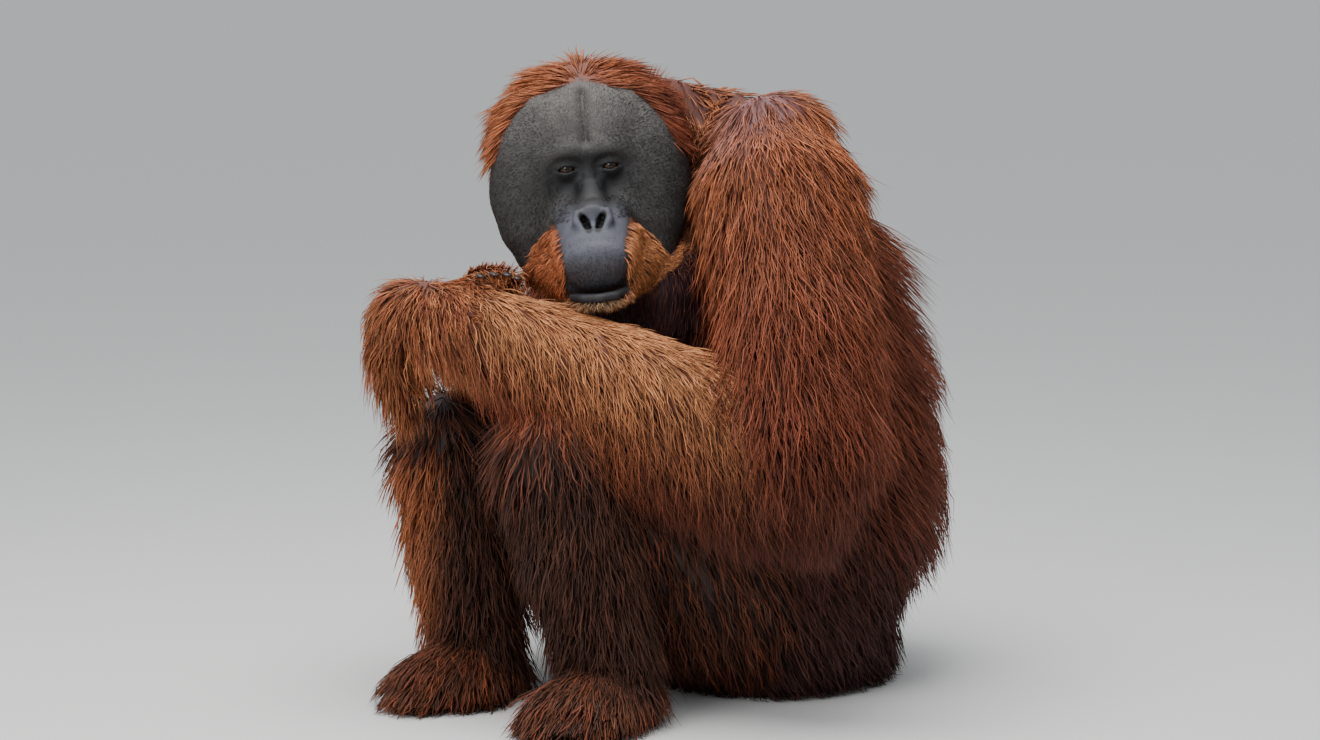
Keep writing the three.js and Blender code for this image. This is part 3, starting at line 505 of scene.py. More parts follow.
head_field = carve_run(head_field, MOUTH, FACE_UP, 2)
groove = [((0, face_depth(0, up) - 2, up), (3, 7, 7)) for up in (108, 86, 64, 44)]
head_field = carve_run(head_field, groove, FACE_OUT, 14)


def sample(field, low, step, points):
    """The field at any points, in proportion between the eight grid corners round each."""
    place = np.clip((points - low) / step, 0, np.array(field.shape) - 1.001)
    cell = place.astype(int)
    part_way = place - cell
    value = np.zeros(len(points))
    for i in (0, 1):
        for j in (0, 1):
            for k in (0, 1):
                weight = (np.abs(1 - i - part_way[:, 0]) * np.abs(1 - j - part_way[:, 1])
                          * np.abs(1 - k - part_way[:, 2]))
                value += weight * field[cell[:, 0] + i, cell[:, 1] + j, cell[:, 2] + k]
    return value


# The head in the body's field, so that body and head keep the coat off each other
flat_points = to_head(body_grid.reshape(-1, 3))
near_head = np.all((flat_points > head_low) & (flat_points < head_high), axis=1)
all_field = body_field.reshape(-1).copy()
all_field[near_head] = np.minimum(
    all_field[near_head], sample(head_field, head_low, HEAD_STEP, flat_points[near_head]))
all_field = all_field.reshape(body_field.shape)
body_field = np.maximum(body_field, MM - body_grid[..., 2])

vertices, squares = surface_net(body_field, body_low, SKIN_STEP)
body_skin = mesh_object("skin_body", vertices, squares)
head_vertices, head_squares = surface_net(head_field, head_low, HEAD_STEP)
face_skin = mesh_object("skin_face", from_head(head_vertices), head_squares)


def nearest_part(points, parts):
    """For each point the number of the nearest run of sections, and its place along and around it."""
    best = np.full(len(points), np.inf)
    which = np.zeros(len(points), int)
    along, around = np.zeros(len(points)), np.zeros(len(points))
    for number, (_, rows, front, _) in enumerate(parts):
        distance, t, turn = limb_distance(points, rows, front)
        nearer = distance < best
        best[nearer], which[nearer] = distance[nearer], number
        along[nearer], around[nearer] = t[nearer], turn[nearer]
    return which, along, around


def step_up(value, low, high):
    """0 below low, 1 above high, and a smooth rise between."""
    share = np.clip((value - low) / (high - low), 0, 1)
    return share * share * (3 - 2 * share)


def mix(a, b, share):
    """A colour that share of the way from a to b, for each point."""
    return a + (b - a) * np.asarray(share)[:, None]


# Half width of the disc that the pads and brow make, by height; hair grows all round it
RIM_HEIGHTS = (-134, -112, -75, -10, 30, 60, 85, 103, 120)
RIM_WIDTHS = (78, 88, 115, 129, 113, 100, 83, 62, 0)
# Inner edge of the pads below the nose, and the edge of the bare muzzle, where the beard begins
PAD_EDGE_HEIGHTS, PAD_EDGE_WIDTHS = (-125, -112, -81, -59, -50), (100, 90, 73, 54, 44)
MUZZLE_HEIGHTS, MUZZLE_WIDTHS = (-168, -156, -146, -128, -90, -58, -30), (0, 28, 38, 43, 39, 45, 44)


def reach_inside(points, heights, widths):
    """How far each point of the face lies inside an edge given as half widths at some heights."""
    return np.interp(points[:, 2], heights, widths, left=0, right=0) - np.abs(points[:, 0] + 2)


# Colours of the face: near black round the eyes, dark grey on the pads with painted light from above on their
# upper part, slate on the muzzle
PAD_GREY, PAD_TOP_LIT = linear(46, 44, 43), linear(80, 76, 73)
EYE_DARK, MUZZLE_SLATE = linear(20, 21, 23), linear(70, 71, 79)
LIP_DARK, BEARD_SKIN, SCALP_SKIN = linear(34, 32, 35), linear(110, 62, 38), linear(104, 56, 40)
h = head_vertices / MM
# Painted light: the pads' grey turns paler towards the top of the face, as if lit from above
face_colour = mix(PAD_GREY, PAD_TOP_LIT, step_up(h[:, 2], -10, 120))
eye_mask = 1 - step_up(np.hypot(h[:, 0] / 64, (h[:, 2] - 2) / 36), 0.5, 1.15)
face_colour = mix(face_colour, EYE_DARK, eye_mask)
# Painted shade: a darker line along the groove carved down the middle of the forehead
groove_shade_mask = np.exp(-((h[:, 0] / 6) ** 2)) * step_up(h[:, 2], 30, 50) * (1 - step_up(h[:, 2], 92, 116))
face_colour = mix(face_colour, EYE_DARK, 0.4 * groove_shade_mask)
past_muzzle = -reach_inside(h, MUZZLE_HEIGHTS, MUZZLE_WIDTHS)
muzzle_mask = step_up(-past_muzzle, -4, 4) * (1 - step_up(h[:, 2], -52, -24))
face_colour = mix(face_colour, MUZZLE_SLATE, muzzle_mask)
face_colour = mix(face_colour, LIP_DARK * 2.2, muzzle_mask * (1 - step_up(h[:, 2], -122, -92)) * 0.75)
face_colour = mix(face_colour, LIP_DARK * 0.8, muzzle_mask * (1 - step_up(h[:, 2], -142, -136)))
# Painted shade: the nostril openings are painted near black, for the shade inside them
nostril_line = 6.5 + 7 * (np.clip(h[:, 2], -66, -48) + 65) / 16
past_nostril = np.hypot(np.abs(h[:, 0]) - nostril_line, np.maximum(np.abs(h[:, 2] + 57) - 8, 0))
nostril_shade_mask = 1 - step_up(past_nostril, 3.5, 6.5)
face_colour = mix(face_colour, LIP_DARK * 0.2, nostril_shade_mask * step_up(-h[:, 1], 60, 75))
beard_mask = (h[:, 2] < -56) * step_up(past_muzzle, 0, 6) * step_up(
    reach_inside(h, PAD_EDGE_HEIGHTS, PAD_EDGE_WIDTHS), -2, 4)
face_colour = mix(face_colour, BEARD_SKIN, beard_mask)
past_rim = -reach_inside(h, RIM_HEIGHTS, RIM_WIDTHS)
scalp_mask = np.maximum(step_up(h[:, 1], 10, 22), step_up(past_rim, -1, 3) * (h[:, 2] > 25))
face_colour = mix(face_colour, SCALP_SKIN, scalp_mask)
paint(face_skin, "skin_colour", face_colour)

HIDE = {"torso": linear(84, 46, 36), "neck": linear(84, 46, 36), "throat": linear(74, 54, 62),
        "upper_arm": linear(112, 62, 46), "forearm": linear(112, 62, 44), "hand": linear(96, 56, 42),
        "thigh": linear(58, 36, 29), "lower_leg": linear(40, 27, 23), "foot": linear(56, 38, 30)}
SHOULDER_MAUVE = linear(122, 92, 98)
body_which, body_along, body_around = nearest_part(vertices, BODY)
regions = np.array([entry[0] for entry in BODY])[body_which]
hides = np.array([HIDE[entry[0].replace("_left", "").replace("_right", "")] for entry in BODY])
# Painted shade: each region's hide darkens towards the floor, to four tenths of its colour at the bottom, as
# under light from above
skin_colour = hides[body_which] * (1 - 0.6 * (1 - step_up(vertices[:, 2], 0.08, 0.32)))[:, None]
bare_spot = np.array([6, -190, 752]) * MM
from_spot = np.linalg.norm(vertices - bare_spot, axis=1)
skin_colour = mix(skin_colour, SHOULDER_MAUVE, 0.6 - 0.6 * step_up(from_spot, 0.05, 0.11))
paint(body_skin, "skin_colour", skin_colour)


class Socket:
    """A node's output, with the usual operators as Math nodes."""

    def __init__(self, shader, output):
        self.shader, self.output = shader, output

    def _join(self, operation, first, second):
        return self.shader.node("ShaderNodeMath", {"operation": operation}, {0: first, 1: second})[0]

    def __add__(self, other):
        return self._join("ADD", self, other)

    def __mul__(self, other):
        return self._join("MULTIPLY", self, other)

    __radd__, __rmul__ = __add__, __mul__


class Shader:
    """A material and the nodes that make it."""

    def __init__(self, name):
        self.material = bpy.data.materials.new(name)
        self.material.use_nodes = True
        self.tree = self.material.node_tree
        self.surface = self.tree.nodes["Principled BSDF"]

    def node(self, kind, settings=None, values=None):
        """Adds a node, sets its settings and then its inputs, and gives its outputs."""
        made = self.tree.nodes.new(kind)
        for key, value in (settings or {}).items():
            setattr(made, key, value)
        for key, value in (values or {}).items():
            self.feed(made.inputs[key], value)
        return [Socket(self, output) for output in made.outputs]

    def feed(self, target, value):
        """Links a socket, or sets a number or colour."""
        if isinstance(value, Socket):
            self.tree.links.new(value.output, target)
        else:
            target.default_value = value

    def set(self, **values):
        """Feeds the surface's own sockets, named with _ for a space."""
        for key, value in values.items():
            self.feed(self.surface.inputs[key.replace("_", " ")], value)


def tinted(shader, attribute, low, high, scale):
    """The painted colour, lighter and darker by a fine mottle on the object's own coordinates."""
    place = shader.node("ShaderNodeTexCoord")[3]
    mottle = shader.node("ShaderNodeTexNoise", {}, {"Vector": place, "Scale": scale, "Detail": 5.0})[0]
    colour = shader.node("ShaderNodeVertexColor", {"layer_name": attribute})[0]
    bright = mottle * (high - low) + low
    grey = shader.node("ShaderNodeCombineXYZ", {}, {0: bright, 1: bright, 2: bright})[0]
    return place, shader.node("ShaderNodeVectorMath", {"operation": "MULTIPLY"}, {0: colour, 1: grey})[0]


leather = Shader("dark_skin")
place, colour = tinted(leather, "skin_colour", 0.6, 1.4, 60.0)
leather.set(Base_Color=colour, Roughness=0.62)
pores = leather.node("ShaderNodeTexNoise", {}, {"Vector": place, "Scale": 700.0, "Detail": 3.0})[0]
creases = leather.node("ShaderNodeTexVoronoi", {"feature": "DISTANCE_TO_EDGE"},
                       {"Vector": place, "Scale": 230.0})[0]
relief = pores * 0.5 + creases * 0.5
leather.set(Normal=leather.node("ShaderNodeBump", {},
                                {"Strength": 0.55, "Distance": 0.0012, "Height": relief})[0])
for skin in (body_skin, face_skin):
    skin.data.materials.append(leather.material)
    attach(skin, "root")
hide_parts("torso", "neck", "throat_sac", *(
    f"{limb}_{side}" for limb in ("upper_arm", "forearm", "hand", "thigh", "lower_leg", "foot")
    for side in ("left", "right")))
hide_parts("head", "cheek_pad_left", "cheek_pad_right")

# ---- Ears
# Small, thin cups of dark skin behind the pads, half hidden by the hair of the crown.

EAR_COLUMNS, EAR_RINGS = 32, 8
EAR_CENTRE = np.array([115, 52, 6])
EAR_WIDTH, EAR_HEIGHT = 11, 18  # half sizes of the oval


def ear_shape(hand):
    """A cup: rings from the rim's outside over its edge and down into the hollow, drawn as an oval."""
    turns = np.linspace(0, 2 * np.pi, EAR_COLUMNS + 1)[:-1]
    outline = [(0.55, -9), (0.95, -2), (1.06, 3), (1.0, 6), (0.86, 4), (0.6, -1), (0.25, -3), (0.02, -3)]
    rings = [np.column_stack([np.full_like(turns, depth) * hand, EAR_WIDTH * scale * np.cos(turns),
                              EAR_HEIGHT * scale * np.sin(turns)]) for scale, depth in outline]
    return np.concatenate(rings) + EAR_CENTRE * (hand, 1, 1)


def ring_faces(rings, columns):
    """Squares between rings of points, each ring closed on itself."""
    r, c = (index.reshape(-1, 1) for index in np.mgrid[:rings - 1, :columns])
    following = (c + 1) % columns
    return np.hstack([r * columns + c, (r + 1) * columns + c, (r + 1) * columns + following,
                      r * columns + following])


ear_squares = ring_faces(EAR_RINGS, EAR_COLUMNS)[:, [0, 3, 2, 1]]
for hand, side in ((1, "left"), (-1, "right")):
    ear = mesh_object(f"ear_cup_{side}", from_head(ear_shape(hand) * MM), ear_squares[:, ::-hand])
    paint(ear, "skin_colour", np.tile(linear(84, 70, 74), (len(ear.data.vertices), 1)))
    ear.data.materials.append(leather.material)
    solid = ear.modifiers.new("thickness", "SOLIDIFY")
    solid.thickness = 1.5 * MM
    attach(ear, "root")
    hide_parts(f"ear_{side}")

# ---- Eyes
# Wet brown eyes, with a dark white, an amber-brown iris and a round pupil under a clear bulge.

EYE_COLUMNS, EYE_RINGS = 48, 33
BULGE_HEIGHT, BULGE_ANGLE = 0.05, 0.42
IRIS_EDGE, PUPIL_EDGE, EDGE_SOFTNESS = 34, 17, 2  # degrees from the middle of the gaze
GAZE = unit(np.array([0.04, -1.0, -0.04]))


def ball_angles(rings, columns):
    """Angles round and down a ball, for rings of points from its top to its bottom."""
    return np.meshgrid(np.linspace(0, 2 * np.pi, columns + 1)[:-1], np.linspace(0, np.pi, rings))


for hand, side in ((1, "left"), (-1, "right")):
    centre = EYE_CENTRE * (hand, 1, 1) * MM
    turns, falls = ball_angles(EYE_RINGS, EYE_COLUMNS)
    ball = np.stack([np.sin(falls) * np.cos(turns), -np.cos(falls), np.sin(falls) * np.sin(turns)], -1)
    bulge = 1 + BULGE_HEIGHT * np.exp(-((falls / BULGE_ANGLE) ** 4))[..., None]
    ball = (ball * bulge * (EYE_RADIUS - 0.2) * MM).reshape(-1, 3)
    eye = mesh_object(f"eyeball_{side}", from_head(ball + centre), ring_faces(EYE_RINGS, EYE_COLUMNS))
    toward = unit(ball) @ GAZE
    angle = np.degrees(np.arccos(np.clip(toward, -1, 1)))
    white, iris, pupil = linear(30, 23, 21), linear(68, 42, 25), linear(4, 3, 3)
    tone = mix(white, iris,
               1 - step_up(angle, IRIS_EDGE - EDGE_SOFTNESS, IRIS_EDGE + EDGE_SOFTNESS))
    tone = mix(tone, iris * 0.25, step_up(angle, 26, 33) * (1 - step_up(angle, 33, 38)))
    tone = mix(tone, pupil, 1 - step_up(angle, PUPIL_EDGE - EDGE_SOFTNESS, PUPIL_EDGE + EDGE_SOFTNESS))
    paint(eye, "eye_colour", tone)
    wet = Shader(f"wet_eye_{side}")
    wet.set(Base_Color=wet.node("ShaderNodeVertexColor", {"layer_name": "eye_colour"})[0], Roughness=0.12,
            Coat_Weight=0.15, Coat_Roughness=0.03, Specular_IOR_Level=0.3)
    eye.data.materials.append(wet.material)
    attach(eye, "root")
    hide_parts(f"eye_{side}")

# ---- Nails
# A dark, domed nail on the end of each finger and toe.

NAIL_SIZE = np.array([7.0, 9.0, 3.0]) * MM
NAIL_COLUMNS, NAIL_RINGS = 16, 9
NAIL_AHEAD, NAIL_UP = 0.45, 0.72  # from the digit's end, in shares of its radius
nail_vertices, nail_faces = [], []
turns, falls = ball_angles(NAIL_RINGS, NAIL_COLUMNS)
dome = np.stack([np.sin(falls) * np.cos(turns), np.sin(falls) * np.sin(turns), np.cos(falls)],
                -1).reshape(-1, 3)
dome_squares = ring_faces(NAIL_RINGS, NAIL_COLUMNS)
for rows in digit_ends:
    tip, before = np.array(rows[-1][0]) * MM, np.array(rows[-2][0]) * MM
    ahead = unit(tip - before)
    back = unit(np.array(rows[-2][0]) - np.array(rows[0][0]))
    top = unit(back - ahead * (back @ ahead) + 1e-6 * UP)
    side_way = np.cross(ahead, top)
    radius = rows[-1][1][0] * MM
    middle = tip + ahead * radius * NAIL_AHEAD + top * radius * NAIL_UP
    local = dome * NAIL_SIZE
    nail_faces.append(dome_squares + len(nail_vertices) * len(dome))
    nail_vertices.append(middle + local[:, :1] * side_way + local[:, 1:2] * ahead + local[:, 2:] * top)
nail_points = np.concatenate(nail_vertices)
nail_points[:, 2] = np.maximum(nail_points[:, 2], MM)
nails = mesh_object("nails", nail_points, np.concatenate(nail_faces))
horn = Shader("dark_horn")
place = horn.node("ShaderNodeTexCoord")[3]
grain = horn.node("ShaderNodeTexNoise", {}, {"Vector": place, "Scale": 300.0, "Detail": 3.0})[0]
ramp = horn.node("ShaderNodeMix", {"data_type": "RGBA"},
                 {0: grain, 6: (*linear(30, 24, 22), 1), 7: (*linear(66, 54, 48), 1)})[2]
horn.set(Base_Color=ramp, Roughness=0.35)
nails.data.materials.append(horn.material)
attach(nails, "root")

# ---- Coat
# Long, shaggy, wavy hair in thin tufts that overlap along the body, gathered in loose locks.
# It hangs in a fringe under the forearm, and is longest on the back and the upper arms.

CLEARANCE = 1.5 * MM  # least distance from the skin, times the step along the tuft
ROOT_DEPTH = 1.5 * MM
CELL_SPAN = 4000  # more cells than lie along any side of the body
CELL_WARP, CELL_WAVES = 0.35, 60  # how far and how often the walls between locks wander
PUSH_LIMIT = 0.03  # furthest that one step of a tuft is pushed out of the body
GATHER_POWER, WAVE_REACH = 1.3, 7  # the wave's angle grows by its reach from root to tip
BOX_INSET = (-8, 14)  # the coat ends this far inside the solids' box, in mm, different for each tuft
FLOOR_GAP = 1.5 * MM
LENGTH_SPREAD = (0.7, 1.15)
TONE_SPREAD, TONE_LIMITS = 0.16, (0.45, 1.7)  # lightness among locks, and among tufts
ROOT_SHADE = 0.75
WIDTH_SPREAD = (0.8, 1.2)
PATCH = 0.003  # side of a tuft's own patch of the unwrap
PIECE_LIMIT = 8800
STUBBLE_TIMES = 4  # a piece holds this many times more tufts when they have one segment
TAPERS = {1: (0.9,), 3: (0.9, 1.0, 0.7), 4: (0.9, 1.0, 0.85, 0.55)}


def roots_on(points, faces, weight, count):
    """Places spread at random over the squares of a surface, as many as each one's area times its
    weight earns, with the squares' normals."""
    a, b, c, d = (points[faces[:, i]] for i in range(4))
    normals = np.cross(c - a, d - b)
    area = np.linalg.norm(normals, axis=1)
    chance = area * weight
    chosen = rng.choice(len(faces), count, p=chance / chance.sum())
    s, t = rng.random((2, count, 1))
    spots = (a[chosen] * (1 - s) * (1 - t) + b[chosen] * s * (1 - t) + c[chosen] * s * t
             + d[chosen] * (1 - s) * t)
    return spots, unit(normals[chosen]), chosen


def field_slope(points):
    """The distance from body and head, and the way straight out from them."""
    value = sample(all_field, body_low, SKIN_STEP, points)
    shifts = np.eye(3) * SKIN_STEP
    slope = np.stack([sample(all_field, body_low, SKIN_STEP, points + shift) - value for shift in shifts], -1)
    return value, unit(slope)


def grow(roots, normals, flow, length, lift, droop, wave, gather, cell, segments, stray):
    """Paths of tufts. Each starts along the lie, raised by the lift, and bends down by the droop at
    each step; where it would enter the body it is pushed out. Tufts whose roots share a small cell
    draw together towards their tips, and each keeps a slight wave of its own."""
    lie = flow - normals * np.sum(flow * normals, 1, keepdims=True)
    lie = unit(lie) + stray * rng.standard_normal(lie.shape)
    heading = unit(lie + normals * lift[:, None])
    step = (length / segments)[:, None]
    path = [roots - normals * ROOT_DEPTH]
    for k in range(segments):
        heading = unit(heading - UP * droop[:, None])
        point = path[-1] + heading * step
        value, out = field_slope(point)
        point = point + out * np.clip(CLEARANCE * (1 + k) - value, 0, PUSH_LIMIT)[:, None]
        heading = unit(point - path[-1])
        path.append(point)
    path = np.stack(path, 1)
    cells = np.floor(roots / cell + CELL_WARP * np.sin(roots[:, ::-1] * CELL_WAVES))
    cells = cells.astype(np.int64) + CELL_SPAN // 2
    keys = (cells[:, 0] * CELL_SPAN + cells[:, 1]) * CELL_SPAN + cells[:, 2]
    clump = np.unique(keys, return_inverse=True)[1].ravel()
    many = np.bincount(clump)[:, None, None]
    mean = np.stack([[np.bincount(clump, path[:, k, j]) for j in range(3)]
                     for k in range(segments + 1)]).transpose(2, 0, 1) / many
    share = np.linspace(0, 1, segments + 1)[None, :, None]
    path = path + (mean[clump] - path) * gather * share ** GATHER_POWER
    swing = unit(np.cross(heading, normals))[:, None, :]
    phase = rng.random((len(roots), 1, 1)) * 2 * np.pi
    path = path + swing * wave * length[:, None, None] * np.sin(phase + share * WAVE_REACH) * share
    return path, clump


def tuft_mesh(name, path, width, colours, patch_place):
    """One mesh of tapered three-sided tufts: rings of three corners along each path, then a tip."""
    count, segments = len(path), path.shape[1] - 1
    taper = np.array(TAPERS[segments])[None, :, None, None]
    ahead = unit(np.diff(path, axis=1))
    side = unit(np.cross(ahead, UP + 0.3 * rng.standard_normal((count, 1, 3))))
    top = np.cross(side, ahead)
    half = (width / 2)[:, None, None, None] * taper
    corners = np.stack([side, -side, top * 0.7], 2) * half
    rings = (path[:, :segments, None, :] + corners).reshape(count, -1, 3)
    points = np.concatenate([rings, path[:, -1:, :]], 1)
    inset = rng.uniform(*BOX_INSET, (count, 1, 1)) * MM
    points = np.clip(points, CAD_LOW + inset, CAD_HIGH - inset)
    points[..., 2] = np.maximum(points[..., 2], FLOOR_GAP)
    single = []
    for k in range(segments - 1):
        for c in range(3):
            d = (c + 1) % 3
            a, b = 3 * k, 3 * k + 3
            single += [(a + c, b + c, b + d), (a + c, b + d, a + d)]
    last = 3 * (segments - 1)
    single += [(last + c, 3 * segments, last + (c + 1) % 3) for c in range(3)] + [(0, 1, 2)]
    size = 3 * segments + 1
    faces = (np.array(single)[None] + np.arange(count)[:, None, None] * size).reshape(-1, 3)
    coat = mesh_object(name, points.reshape(-1, 3), faces)
    steps = np.append(np.repeat(np.arange(segments), 3), segments) / segments
    corner_step = np.append(np.tile(np.arange(3), segments), 1) / 3
    places = patch_place[:, None, :] + PATCH * np.stack([corner_step, steps], -1)[None]
    layer = coat.data.uv_layers.new(name="OFBake")
    layer.data.foreach_set("uv", places.reshape(-1, 2)[faces.ravel()].astype(np.float32).ravel())
    root, tip = colours
    shade = root[:, None, :] + (tip - root)[:, None, :] * (steps ** 0.8)[None, :, None]
    paint(coat, "hair_colour", shade.reshape(-1, 3))
    return coat


def hair_material(name, roughness):
    """Hair: its painted colour with a fine mottle, and a soft gloss."""
    hair = Shader(name)
    colour = tinted(hair, "hair_colour", 0.75, 1.25, 45.0)[1]
    hair.set(Base_Color=colour, Roughness=roughness, Specular_IOR_Level=0.35)
    return hair.material


long_hair = hair_material("long_hair", 0.55)
short_hair = hair_material("short_hair", 0.6)
ATLAS_SIDE = 7  # cells along each side of the unwrap, one for each run of sections
CELL_MARGIN = 0.05


def coat(region, spots, normals, flow, length, lift, droop, width, root_colour, tip_colour, slot, places,
         wave=0.075, gather=0.2, cell=0.014, material=long_hair, segments=4, stray=0.14):
    """Grows one region's tufts and makes its pieces, none over the limit of tufts."""
    count = len(spots)
    length = length * rng.uniform(*LENGTH_SPREAD, count)
    path, clump = grow(spots, normals, flow, length, np.full(count, 1.0) * lift, np.full(count, 1.0) * droop,
                       wave, gather, cell, segments, stray)
    lock_tone = 1 + TONE_SPREAD * rng.standard_normal(clump.max() + 1)[clump]
    own_tone = 1 + TONE_SPREAD * rng.standard_normal(count)
    tone = np.clip(lock_tone * own_tone, *TONE_LIMITS)[:, None]
    root, tip = root_colour * tone * ROOT_SHADE, tip_colour * tone
    limit = PIECE_LIMIT * (1 if segments > 1 else STUBBLE_TIMES)
    for start in range(0, count, limit):
        piece = slice(start, start + limit)
        made = tuft_mesh(f"coat_{region}_{start // limit}", path[piece], width[piece],
                         (root[piece], tip[piece]), places[piece])
        made.data.materials.append(material)
        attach(made, "root")


# Colours of the coat, and the squares of skin that it roots in
ORANGE, RED_BROWN, DEEP = linear(204, 122, 78), linear(156, 80, 52), linear(84, 45, 33)
GOLD, DARK, LEG_TIP = linear(224, 152, 100), linear(40, 27, 23), linear(94, 54, 37)
RUMP, FOOT_TIP = linear(82, 47, 42), linear(102, 62, 41)
regions_of_squares = regions[squares[:, 0]]
square_along = body_along[squares[:, 0]]
square_around = body_around[squares[:, 0]]
square_middle = vertices[squares].mean(1)
square_normal = unit(np.cross(vertices[squares[:, 2]] - vertices[squares[:, 0]],
                              vertices[squares[:, 3]] - vertices[squares[:, 1]]))
in_head = to_head(square_middle)
hidden = (sample(head_field, head_low, HEAD_STEP, np.clip(in_head, head_low, head_high)) < 0) & np.all(
    (in_head > head_low) & (in_head < head_high), axis=1)
on_sole = (square_middle[:, 2] < 6 * MM) & (square_normal[:, 2] < -0.5)


def atlas_place(number, along, around):
    """The place on the unwrap: each run of sections has its own cell, around it by along it."""
    inner = 1 - 2 * CELL_MARGIN
    return np.stack([(number % ATLAS_SIDE + CELL_MARGIN + inner * around) / ATLAS_SIDE,
                     (number // ATLAS_SIDE + CELL_MARGIN + inner * along) / ATLAS_SIDE], -1)


def ragged_step(value, spread, low, high):
    """A rise from 0 to 1 between low and high, its place moved a little for each tuft."""
    return step_up(value + rng.uniform(-spread, spread, len(value)), low, high)


